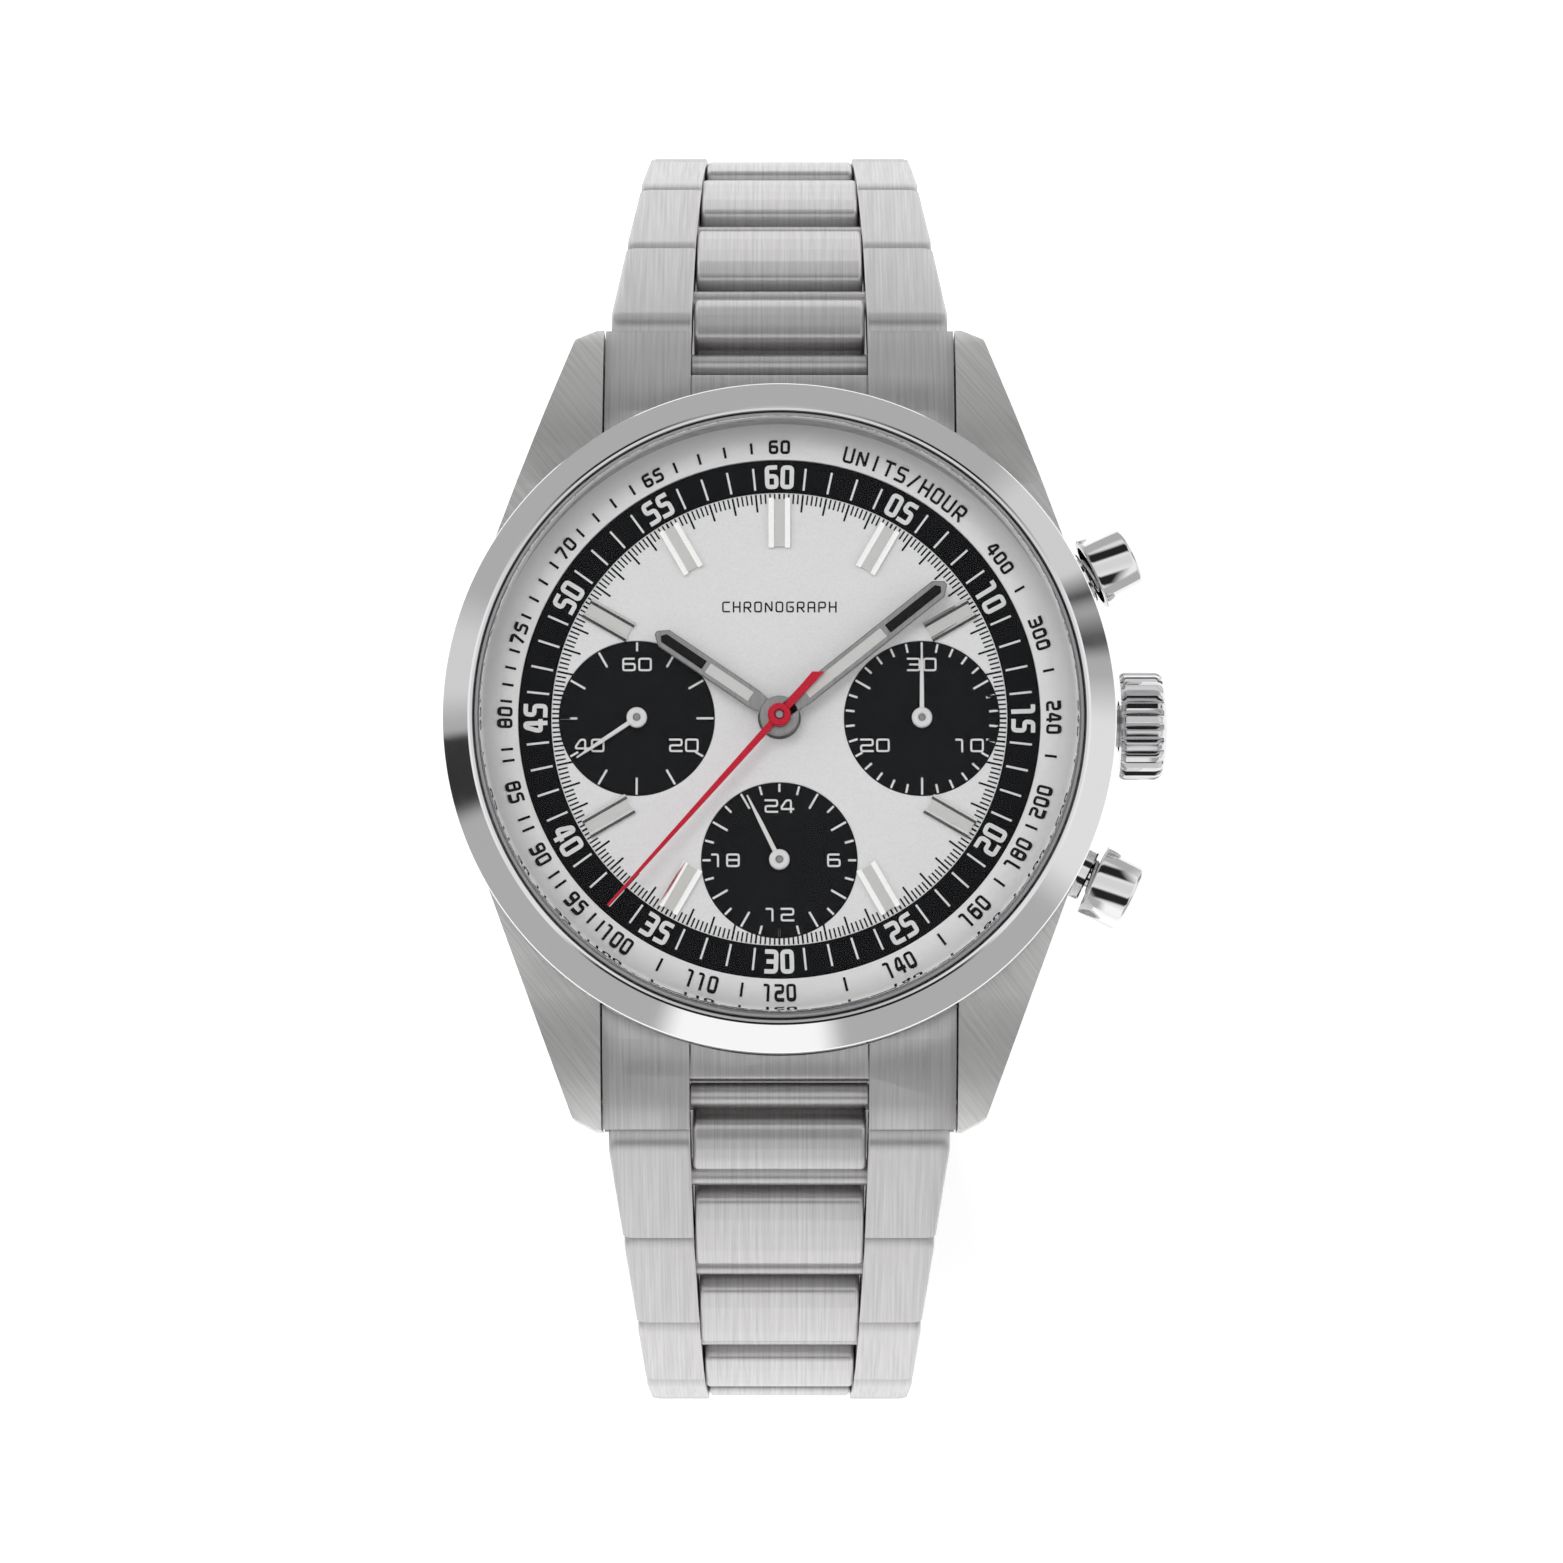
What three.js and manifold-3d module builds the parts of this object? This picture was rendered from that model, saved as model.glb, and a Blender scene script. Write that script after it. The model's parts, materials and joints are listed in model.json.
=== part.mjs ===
// Chronograph wristwatch on a three-row steel bracelet, closed as it is worn. Millimetres.
// The origin is the centre of the case back's outer face. +Z goes out through the dial,
// +Y towards 12 o'clock and +X towards the crown.
import * as THREE from "three";
import { mergeVertices } from "three/addons/utils/BufferGeometryUtils.js";
import Module from "manifold-3d";

const wasm = await Module();
wasm.setup();

// Sides of a full circle on large, medium and small rounds
const FINE_ROUND = 48;
const ROUND = 36;
const SMALL_ROUND = 16;
const PIN_ROUND = 12;
// Reaches right past the watch, for cutters
const PAST = 30;

// Case: a round barrel with four lugs, given by one quarter's plan and by their side view
const BARREL_R = 18.75;
const BARREL_BORE_R = 15.0;
const MOVEMENT_BORE_R = 16.0;
const DIAL_BORE_R = 17.15;
const DIAL_SEAT = 7.6;
const CASE_LOW = 2.1;
const CASE_TOP = 8.8;
const LUG_TIP_Y = 23.05;
const LUG_GAP_HALF = 10.15;
const LUG_PLAN = [[9.0, LUG_TIP_Y], [10.3, LUG_TIP_Y], [11.7, 22.5], [16.15, 10.3], [17.9, 5.5]];
const LUG_CREST = [[LUG_TIP_Y, 4.9], [21.0, 6.2], [18.0, 7.7], [14.0, CASE_TOP]];
const LUG_UNDERSIDE = [[14.0, CASE_LOW], [19.0, 1.5], [LUG_TIP_Y, 0.9]];
const SPRING_BAR_HOLE_R = 0.6;
const SPRING_BAR_HOLE_HALF = 11.4;
const STEM_HOLE_R = 1.3;
const PUSHER_HOLE_R = 1.7;

// Bezel, crystal and case back
const BEZEL_R = 19.0;
const BEZEL_BORE_R = 17.2;
const BEZEL_LIP_R = 17.5;
const BEZEL_LOW = 8.9;
const BEZEL_EDGE = 10.05;
const BEZEL_TOP = 11.3;
const CRYSTAL_R = 16.8;
const CRYSTAL_LOW = 10.9;
const CRYSTAL_TOP = 12.8;
const SEAL_IN = 16.9;
const SEAL_OUT = 17.1;
const BACK_R = 17.0;
const BACK_BORE_R = 12.9;
const BACK_THICK = 1.5;
const GLASS_R = 12.7;
const GLASS_THICK = 1.0;

// Dial and hands
const DIAL_R = 16.9;
const DIAL_LOW = 8.0;
const DIAL_TOP = 8.4;
const RING_LOW = 8.5;
const CANNON_HOLE_R = 1.2;
const PIVOT_HOLE_R = 0.4;
const SUBDIAL_R = 4.4;
const SUBDIAL_OFFSET = 8.0;
const SUBDIAL_DEPTH = 0.1;
const MARKER_IN = 9.65;
const MARKER_OUT = 12.5;
const MARKER_WIDE = 1.2;
const MARKER_HIGH = 0.3;
const HAND_THICK = 0.2;
const SUBHAND_THICK = 0.15;
const HOUR_Z = 9.15;
const MINUTE_Z = 9.5;
const CHRONO_Z = 9.85;
const SUBHAND_Z = 8.6;
const PIPE_LOW = 7.2;
const HUB_R = 1.15;
const CHRONO_HUB_R = 0.65;
const SUBHAND_HUB_R = 0.57;
const HOUR_ANGLE = 304.3;
const MINUTE_ANGLE = 51.2;
const CHRONO_ANGLE = 221.8;
const RUNNING_ANGLE = 236.3;
const COUNTER_ANGLE = 0;
const HOUR24_ANGLE = 333.5;

// Crown and pushers
const STEM_Z = 5.2;
const PUSHER_ANGLE = 26;
const CROWN_R = 3.1;
const CROWN_IN = 19.4;
const CROWN_OUT = 21.8;
const FLUTES = 24;
const FLUTE_DEPTH = 0.22;
const PUSHER_STEM_R = 0.65;
const PUSHER_CAP_R = 2.15;
const SLEEVE_R = 1.55;
const SPRING_R = 0.98;
const SPRING_WIRE_R = 0.13;
const SPRING_LOW = 18.5;
const SPRING_HIGH = 20.1;
const SPRING_TURNS = 3;

// Movement
const PLATE_R = 14.0;
const PLATE_LOW = 5.9;
const PLATE_TOP = 6.9;
const BRIDGE_LOW = 2.5;
const BRIDGE_TOP = 3.1;
const POST_TOP = 5.8;
const ARBOR_LOW = 3.3;
const ARBOR_TOP = 5.6;
const ARBOR_R = 0.22;
const HOLDER_IN = 14.4;
const HOLDER_OUT = 15.7;
const COCK_LOW = 2.1;
const COCK_TOP = 2.75;
const BALANCE_R = 4.1;
const BARREL_AT = [-6.5, 5.5];
const BALANCE_AT = [5.5, -6.5];
const COCK_FOOT_AT = [0.5, -11.8];
const FORK_AT = [1.0, -7.6];
const ESCAPE_AT = [-2.4, -8.2];
const COLUMN_AT = [7.5, 6.5];

// Bracelet
const PITCH = 7.4;
const LINK_THICK = 2.8;
const LINK_GAP = 0.25;
const TONGUE = 1.9;
const NOTCH = 2.6;
const SIDE_GAP = 0.3;
const HINGE_Y = 23.3;
const HINGE_Z = 3.3;
const LINK_SLOPES = [45, 51, 66, 84, 102, 120, 138, 156];
const LINK_HALF_WIDTHS = [9.7, 8.95, 8.3, 7.95, 7.85, 7.8, 7.8, 7.8, 7.8];
const CENTRE_HALF_WIDTHS = [5.0, 4.85, 4.6, 4.4, 4.25, 4.2, 4.2, 4.2, 4.2];
const SPRING_BAR_Y = 21.1;
const END_LINK_SIDE = [
  [15.4, 7.3],
  [19.5, 6.6],
  [22.3, 5.2],
  [LUG_TIP_Y, 4.6],
  [LUG_TIP_Y, 3.3],
  [22.0, 1.9],
  [15.4, 2.2],
];

// Clasp: two blades and a cover, hinged on knuckles that share the width
const CLASP_PIN_R = 0.6;
const INNER_BLADE_HALF = 6.6;
const OUTER_BLADE_HALF = 5.6;
const BLADE_THICK = 0.6;
const MIDDLE_KNUCKLE_HALF = 2.0;
const SIDE_KNUCKLE_FROM = 2.3;
const KNUCKLE_CUT = 2.1;
const KNUCKLE_REACH = 1.2;
const COVER_WALL = 0.4;
const COVER_FLOOR = 0.85;
const COVER_HIGH = 3.2;
const BUTTON_R = 1.1;
const BUTTON_Y = 6.0;

const steel = new THREE.MeshStandardMaterial({ color: 0xb9b9bb, metalness: 1, roughness: 0.35 });
const polished = new THREE.MeshStandardMaterial({ color: 0xd2d2d4, metalness: 1, roughness: 0.08 });
const handSteel = new THREE.MeshStandardMaterial({ color: 0xa8a8a8, metalness: 1, roughness: 0.3 });
const sapphire = new THREE.MeshStandardMaterial({
  color: 0xf4f8fb,
  metalness: 0,
  roughness: 0.02,
  transparent: true,
  opacity: 0.3,
});
const gasketRubber = new THREE.MeshStandardMaterial({ color: 0x1c1c1e, metalness: 0, roughness: 0.8 });
const silverDial = new THREE.MeshStandardMaterial({ color: 0xdcdcdc, metalness: 0.4, roughness: 0.45 });
const whiteRing = new THREE.MeshStandardMaterial({ color: 0xf0f0ee, metalness: 0, roughness: 0.5 });
const redLacquer = new THREE.MeshStandardMaterial({ color: 0xd71932, metalness: 0.1, roughness: 0.35 });
const whiteLacquer = new THREE.MeshStandardMaterial({ color: 0xf2f2f2, metalness: 0.1, roughness: 0.35 });
const brass = new THREE.MeshStandardMaterial({ color: 0xc9a45c, metalness: 1, roughness: 0.3 });
const nickel = new THREE.MeshStandardMaterial({ color: 0xbfc0bd, metalness: 1, roughness: 0.3 });
const holderPlastic = new THREE.MeshStandardMaterial({ color: 0xc8c8c6, metalness: 0, roughness: 0.6 });

const watch = new THREE.Group();
const radians = THREE.MathUtils.degToRad;

// A geometry as one closed indexed mesh: shared corners merged, slivers dropped, faces out.
function closed(geometry) {
  const bare = geometry.clone();
  for (const key of Object.keys(bare.attributes)) {
    if (key !== "position") {
      bare.deleteAttribute(key);
    }
  }
  const merged = mergeVertices(bare, 1e-4);
  const position = merged.attributes.position;
  const corners = [new THREE.Vector3(), new THREE.Vector3(), new THREE.Vector3()];
  const kept = [];
  let volume = 0;
  for (let i = 0; i < merged.index.count; i += 3) {
    const [a, b, c] = [0, 1, 2].map((k) => merged.index.getX(i + k));
    if (a === b || b === c || c === a) {
      continue;
    }
    kept.push([a, b, c]);
    [a, b, c].forEach((vertex, k) => corners[k].fromBufferAttribute(position, vertex));
    volume += corners[0].dot(corners[1].cross(corners[2]));
  }
  const faces = volume > 0 ? kept : kept.map(([a, b, c]) => [a, c, b]);
  merged.setIndex(faces.flat());
  return merged;
}

function solid(geometry) {
  const mesh = closed(geometry);
  return new wasm.Manifold(
    new wasm.Mesh({
      numProp: 3,
      vertProperties: new Float32Array(mesh.attributes.position.array),
      triVerts: new Uint32Array(mesh.index.array),
    }),
  );
}

function geometryOf(manifold) {
  const mesh = manifold.getMesh();
  const geometry = new THREE.BufferGeometry();
  geometry.setAttribute("position", new THREE.BufferAttribute(new Float32Array(mesh.vertProperties), 3));
  geometry.setIndex(Array.from(mesh.triVerts));
  return geometry;
}

const cut = (body, ...tools) => tools.reduce((left, tool) => left.subtract(solid(tool)), body);
const join = (body, ...pieces) => pieces.reduce((left, piece) => left.add(solid(piece)), body);

// Adds one named sub-part, from a geometry or from the result of a boolean.
function add(name, shape, material, parent = watch) {
  const geometry = shape.isBufferGeometry ? closed(shape) : geometryOf(shape);
  const mesh = new THREE.Mesh(geometry, material);
  mesh.name = name;
  parent.add(mesh);
  return mesh;
}

// A body of revolution about Z. The [radius, z] points close on themselves or end on the axis.
function lathe(points, sides = ROUND) {
  const profile = points.map(([r, z]) => new THREE.Vector2(r, z));
  if (points[0][0] > 0 || points.at(-1)[0] > 0) {
    profile.push(profile[0].clone());
  }
  return new THREE.LatheGeometry(profile, sides).rotateX(Math.PI / 2);
}

const rod = (radius, low, high, sides = 24) =>
  lathe([[0, low], [radius, low], [radius, high], [0, high]], sides);

const tube = (inner, outer, low, high, sides = ROUND) =>
  lathe([[inner, low], [outer, low], [outer, high], [inner, high]], sides);

const box = (low, high) =>
  new THREE.BoxGeometry(high[0] - low[0], high[1] - low[1], high[2] - low[2]).translate(
    (low[0] + high[0]) / 2,
    (low[1] + high[1]) / 2,
    (low[2] + high[2]) / 2,
  );

function plate(outline, low, high, bevel = 0) {
  const shape = Array.isArray(outline)
    ? new THREE.Shape(outline.map(([x, y]) => new THREE.Vector2(x, y)))
    : outline;
  return new THREE.ExtrudeGeometry(shape, {
    depth: high - low - 2 * bevel,
    bevelEnabled: bevel > 0,
    bevelSegments: 1,
    bevelThickness: bevel,
    bevelSize: bevel,
    bevelOffset: -bevel,
    curveSegments: 12,
  }).translate(0, 0, low + bevel);
}

// A side view outline in [y, z], drawn out along X from -half to +half.
const sideways = (outline, half) =>
  plate(outline, -half, half).rotateZ(Math.PI / 2).rotateY(Math.PI / 2);

// A shape made along +Z turned to lie along the radius at an angle from +X, at the stem's height.
const radial = (geometry, angle) =>
  geometry.rotateY(Math.PI / 2).rotateZ(radians(angle)).translate(0, 0, STEM_Z);

// A rod across the watch, along X.
const sideRod = (radius, from, to, y, z, sides = PIN_ROUND) =>
  rod(radius, from, to, sides).rotateY(Math.PI / 2).translate(0, y, z);

// A wheel with teeth: points alternate between the tip and the root circle.
function toothed(tip, root, teeth, low, high) {
  const points = [];
  for (let i = 0; i < teeth * 2; i += 1) {
    const turn = (i * Math.PI) / teeth;
    const radius = i % 2 ? root : tip;
    points.push([radius * Math.cos(turn), radius * Math.sin(turn)]);
  }
  return plate(points, low, high);
}

const at = (geometry, [x, y]) => geometry.translate(x, y, 0);

function buildCase() {
  const quarter = (sx, sy) => LUG_PLAN.map(([x, y]) => [sx * x, sy * y]);
  const outline = [
    ...quarter(1, 1),
    ...quarter(1, -1).reverse(),
    ...quarter(-1, -1),
    ...quarter(-1, 1).reverse(),
  ];
  const flip = (points) => points.map(([y, z]) => [-y, z]).reverse();
  const side = sideways(
    [...LUG_CREST, ...flip(LUG_CREST), ...flip(LUG_UNDERSIDE), ...LUG_UNDERSIDE],
    PAST,
  );
  const lugs = solid(plate(outline, 0, PAST))
    .intersect(solid(side))
    .subtract(solid(box([-LUG_GAP_HALF, -PAST, -PAST], [LUG_GAP_HALF, PAST, PAST])));
  const barrel = solid(tube(BARREL_BORE_R, BARREL_R, CASE_LOW, CASE_TOP, FINE_ROUND));
  const springBarHoles = [-1, 1].map((way) =>
    sideRod(SPRING_BAR_HOLE_R, -SPRING_BAR_HOLE_HALF, SPRING_BAR_HOLE_HALF, way * SPRING_BAR_Y, HINGE_Z),
  );
  const wallHole = (radius, angle) => radial(rod(radius, PLATE_R, PAST, SMALL_ROUND), angle);
  return cut(
    barrel.add(lugs),
    rod(MOVEMENT_BORE_R, 0, PAST, ROUND),
    rod(DIAL_BORE_R, DIAL_SEAT, PAST, ROUND),
    wallHole(STEM_HOLE_R, 0),
    wallHole(PUSHER_HOLE_R, PUSHER_ANGLE),
    wallHole(PUSHER_HOLE_R, -PUSHER_ANGLE),
    ...springBarHoles,
  );
}

function buildCaseParts() {
  add("mid_case", buildCase(), steel);
  const bezel = [
    [BEZEL_BORE_R, BEZEL_LOW],
    [BEZEL_R, BEZEL_LOW],
    [BEZEL_R, BEZEL_EDGE],
    [BEZEL_LIP_R, BEZEL_TOP],
    [BEZEL_BORE_R, BEZEL_TOP],
  ];
  add("bezel", lathe(bezel, 60), polished);
  const domed = [[16.4, 11.95], [9, 12.65], [0, CRYSTAL_TOP]];
  const crystal = [[0, CRYSTAL_LOW], [CRYSTAL_R, CRYSTAL_LOW], [CRYSTAL_R, 11.7], ...domed];
  add("crystal", lathe(crystal), sapphire);
  add("crystal_gasket", tube(SEAL_IN, SEAL_OUT, 10.2, 11.2), gasketRubber);
  const slope = [[16.95, 10.1], [16.75, 10.1], [16.7, 9.3], [14.8, 8.65]];
  const rim = [[14.8, RING_LOW], [16.95, RING_LOW], ...slope];
  add("tachymeter_ring", lathe(rim, FINE_ROUND), whiteRing);
  const wall = [[16.6, 0], [BACK_R, 0.4], [BACK_R, BACK_THICK], [15.6, BACK_THICK], [15.6, 2.8]];
  const seat = [[14.0, 2.8], [14.0, 1.7], [12.2, 1.7], [12.2, 1.2], [BACK_BORE_R, 1.2]];
  add("case_back", lathe([[BACK_BORE_R, 0], ...wall, ...seat]), steel);
  add("case_back_glass", rod(GLASS_R, 0, GLASS_THICK, ROUND), sapphire);
  add("case_back_gasket", tube(16.1, 16.8, 1.6, 2.0), gasketRubber);
}

function buildDial() {
  const centres = [[SUBDIAL_OFFSET, 0], [-SUBDIAL_OFFSET, 0], [0, -SUBDIAL_OFFSET]];
  const recess = DIAL_TOP - SUBDIAL_DEPTH;
  const holes = centres.flatMap((centre) => [
    at(rod(SUBDIAL_R, recess, PAST, 28), centre),
    at(rod(PIVOT_HOLE_R, 0, PAST, PIN_ROUND), centre),
  ]);
  const blank = solid(rod(DIAL_R, DIAL_LOW, DIAL_TOP, FINE_ROUND));
  const disc = cut(blank, rod(CANNON_HOLE_R, 0, PAST, SMALL_ROUND), ...holes);
  const half = MARKER_WIDE / 2;
  const hours = [0, 1, 2, 4, 5, 7, 8, 10, 11];
  const markers = hours.map((hour) =>
    box([-half, MARKER_IN, DIAL_TOP - SUBDIAL_DEPTH], [half, MARKER_OUT, DIAL_TOP + MARKER_HIGH])
      .rotateZ(radians(-30 * hour)),
  );
  add("dial", join(disc, ...markers), silverDial);
}

// A central hand: pointed baton, hub and hollow pipe, pointing to 12 before it is turned.
function centralHand(name, { length, width, z, boreR, pipeR, pipeLow, angle }) {
  const right = [[width * 0.3, 0], [width / 2, length * 0.2], [width / 2, length - width * 0.6]];
  const left = right.map(([x, y]) => [-x, y]);
  const outline = [...right, [0, length], ...left.reverse()];
  const body = join(
    solid(plate(outline, z, z + HAND_THICK)),
    rod(HUB_R, z, z + HAND_THICK, SMALL_ROUND),
    rod(pipeR, pipeLow, z + HAND_THICK / 2, SMALL_ROUND),
  );
  const hand = cut(body, rod(boreR, 0, PAST, SMALL_ROUND));
  const mesh = add(name, hand, handSteel);
  mesh.rotation.z = radians(-angle);
}

// A needle with a hub and a solid arbor under it, for the hands that turn on their own pins.
function needleHand(name, outline, thick, z, hubR, hubHigh, arborR, angle, material) {
  const hand = join(
    solid(plate(outline, z, z + thick)),
    rod(hubR, z, z + hubHigh, SMALL_ROUND),
    rod(arborR, PIPE_LOW, z + thick / 2, PIN_ROUND),
  );
  const mesh = add(name, hand, material);
  mesh.rotation.z = radians(-angle);
  return mesh;
}

function buildCentralHands() {
  centralHand("hour_hand", {
    length: 8.4,
    width: 1.0,
    z: HOUR_Z,
    boreR: 0.8,
    pipeR: 1.0,
    pipeLow: PIPE_LOW + 0.2,
    angle: HOUR_ANGLE,
  });
  centralHand("minute_hand", {
    length: 12.0,
    width: 1.0,
    z: MINUTE_Z,
    boreR: 0.45,
    pipeR: 0.65,
    pipeLow: PIPE_LOW + 0.1,
    angle: MINUTE_ANGLE,
  });
  const needle = [[-0.25, -3.5], [-0.2, 0], [-0.08, 14.4], [0.08, 14.4], [0.2, 0], [0.25, -3.1]];
  needleHand(
    "chrono_seconds_hand", needle, HAND_THICK, CHRONO_Z, CHRONO_HUB_R, 0.45, 0.3, CHRONO_ANGLE, redLacquer,
  );
}

function subdialHand(name, [x, y], angle) {
  const right = [[0.12, -0.5], [0.12, 2.6], [0.05, 4.1]];
  const needle = [...right, ...right.map(([u, v]) => [-u, v]).reverse()];
  const mesh = needleHand(
    name, needle, SUBHAND_THICK, SUBHAND_Z, SUBHAND_HUB_R, 0.35, 0.25, angle, whiteLacquer,
  );
  mesh.position.set(x, y, 0);
}

function buildCrown() {
  const step = Math.PI / FLUTES / 2;
  const rim = (radius, turn) => [radius * Math.cos(turn), radius * Math.sin(turn)];
  const points = [];
  for (let i = 0; i < FLUTES; i += 1) {
    const turn = (i / FLUTES) * 2 * Math.PI;
    points.push(rim(CROWN_R, turn - step));
    points.push(rim(CROWN_R, turn + step));
    points.push(rim(CROWN_R - FLUTE_DEPTH, turn + 2 * step));
  }
  const grip = solid(plate(points, CROWN_IN, CROWN_OUT));
  const dome = [[0, CROWN_OUT - 0.3], [2.7, CROWN_OUT - 0.3], [2.7, CROWN_OUT], [1.6, 22.15], [0, 22.25]];
  const bore = [[0, 19], [1.45, 19], [1.45, 20.7], [0.7, 20.7], [0.7, 21.3], [0, 21.3]];
  const crown = cut(join(grip, lathe(dome, 24)), lathe(bore, SMALL_ROUND));
  add("crown", radial(geometryOf(crown), 0), polished);
  add("crown_tube", radial(tube(0.75, 1.2, 16.3, 20.2, SMALL_ROUND), 0), steel);
  add("winding_stem", radial(rod(0.5, 11.0, 21.1, PIN_ROUND), 0), nickel);
  const lever = [[9.4, -3.6], [11.0, -4.0], [12.4, -0.6], [12.4, 0.9], [11.2, 0.9], [10.6, -0.8]];
  add("setting_lever", plate(lever, 4.0, 4.4), nickel);
}

function springGeometry(radius, wire, low, high, turns) {
  class Helix extends THREE.Curve {
    getPoint(t, target = new THREE.Vector3()) {
      const turn = t * turns * 2 * Math.PI;
      return target.set(radius * Math.cos(turn), radius * Math.sin(turn), low + (high - low) * t);
    }
  }
  const section = new THREE.Shape();
  section.absarc(0, 0, wire, 0, 2 * Math.PI);
  return new THREE.ExtrudeGeometry(section, { steps: turns * 9, extrudePath: new Helix(), curveSegments: 3 });
}

function buildPusher(name, angle) {
  const stem = [[0, 15.2], [PUSHER_STEM_R, 15.2], [PUSHER_STEM_R, 21.3]];
  const skirt = [[1.75, 21.3], [1.75, 19.9], [PUSHER_CAP_R, 19.9]];
  const cap = [[PUSHER_CAP_R, 22.3], [1.7, 22.65], [0, 22.75]];
  add(`${name}_pusher`, radial(lathe([...stem, ...skirt, ...cap], 24), angle), polished);
  const guide = [[0.8, 16.3], [SLEEVE_R, 16.3], [SLEEVE_R, 19.6]];
  const pocket = [[1.3, 19.6], [1.3, 18.2], [0.8, 18.2]];
  add(`${name}_pusher_tube`, radial(lathe([...guide, ...pocket], 24), angle), polished);
  const spring = springGeometry(SPRING_R, SPRING_WIRE_R, SPRING_LOW, SPRING_HIGH, SPRING_TURNS);
  add(`${name}_pusher_spring`, radial(spring, angle), nickel);
}

// A bridge and a cock carry the wheels' arbors from below, and the main plate from above.
function buildBridges() {
  const half = new THREE.Shape();
  half.absarc(0, 0, PLATE_R - 0.6, radians(-5), radians(185));
  half.closePath();
  const posts = [[-12.2, 0.2], [11.8, 3.0], [2.5, 12.2]].map((foot) =>
    at(rod(0.8, BRIDGE_LOW, POST_TOP, PIN_ROUND), foot),
  );
  add("train_bridge", join(solid(plate(half, BRIDGE_LOW, BRIDGE_TOP)), ...posts), nickel);

  const [bx, by] = BALANCE_AT;
  const [fx, fy] = COCK_FOOT_AT;
  const reach = Math.hypot(fx - bx, fy - by);
  const arm = plate([[0, -1.3], [reach, -1.8], [reach, 1.8], [0, 1.3]], COCK_LOW, COCK_TOP)
    .rotateZ(Math.atan2(fy - by, fx - bx))
    .translate(bx, by, 0);
  const cock = join(
    solid(arm),
    at(rod(1.3, COCK_LOW, COCK_TOP, SMALL_ROUND), BALANCE_AT),
    at(rod(1.8, COCK_LOW, COCK_TOP, SMALL_ROUND), COCK_FOOT_AT),
    at(rod(1.2, COCK_LOW, POST_TOP, PIN_ROUND), COCK_FOOT_AT),
  );
  add("balance_cock", cock, nickel);
}

function buildEscapement() {
  const spoke = BALANCE_R - 0.4;
  const balance = join(
    solid(tube(BALANCE_R - 0.6, BALANCE_R, 3.6, 4.0, 32)),
    box([-spoke, -0.25, 3.6], [spoke, 0.25, 3.9]),
    rod(0.3, BRIDGE_TOP - 0.1, ARBOR_TOP, PIN_ROUND),
  );
  add("balance_wheel", at(geometryOf(balance), BALANCE_AT), brass);

  const [dx, dy] = BALANCE_AT.map((value, k) => value - FORK_AT[k]);
  const length = Math.hypot(dx, dy) - 0.6;
  const fork = join(
    solid(plate([[0, -0.2], [length, -0.12], [length, 0.12], [0, 0.2]], 4.2, 4.4)),
    plate([[-0.4, -1.5], [0.2, -1.5], [0.4, 0], [0.2, 1.5], [-0.4, 1.5]], 4.2, 4.4),
    rod(ARBOR_R, ARBOR_LOW, ARBOR_TOP, 8),
  );
  add("pallet_fork", at(geometryOf(fork).rotateZ(Math.atan2(dy, dx)), FORK_AT), nickel);

  const escape = join(solid(toothed(1.9, 1.45, 15, 4.6, 4.8)), rod(ARBOR_R, ARBOR_LOW, ARBOR_TOP, 8));
  add("escape_wheel", at(geometryOf(escape), ESCAPE_AT), brass);
}

function buildMovement() {
  const slots = [0, PUSHER_ANGLE, -PUSHER_ANGLE].map((angle) =>
    radial(rod(0.95, HOLDER_IN - 2, PAST, PIN_ROUND), angle),
  );
  const holder = cut(solid(tube(HOLDER_IN, HOLDER_OUT, 3.2, 7.5)), ...slots);
  add("movement_holder", holder, holderPlastic);
  add("main_plate", rod(PLATE_R, PLATE_LOW, PLATE_TOP, ROUND), nickel);
  buildBridges();
  buildEscapement();

  const centre = join(solid(toothed(3.35, 3.05, 36, 4.6, 4.9)), rod(0.35, ARBOR_LOW, 5.7, PIN_ROUND));
  add("centre_wheel", centre, brass);
  const barrel = join(
    solid(toothed(4.95, 4.65, 48, 4.7, 5.1)),
    rod(4.5, 3.5, 4.8, 32),
    rod(0.5, ARBOR_LOW, ARBOR_TOP, PIN_ROUND),
  );
  add("mainspring_barrel", at(geometryOf(barrel), BARREL_AT), brass);
  const column = join(solid(toothed(1.7, 1.3, 12, 4.4, 4.8)), toothed(1.5, 0.7, 6, 3.5, 4.5));
  add("column_wheel", at(geometryOf(column), COLUMN_AT), nickel);
}

// Plan of a link in [x, along]: side rows, a tongue at the far end and a notch at the near one.
function linkPlan(halfNear, halfFar, centreNear, centreFar, length, tongue) {
  const side = [[halfNear, LINK_GAP], [halfFar, length - LINK_GAP]];
  const tip = tongue
    ? [[centreFar, length - LINK_GAP], [centreFar, length + tongue]]
    : [];
  const right = [[centreNear + SIDE_GAP, NOTCH], [centreNear + SIDE_GAP, LINK_GAP], ...side, ...tip];
  return [...right, ...right.map(([x, s]) => [-x, s]).reverse()];
}

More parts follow.
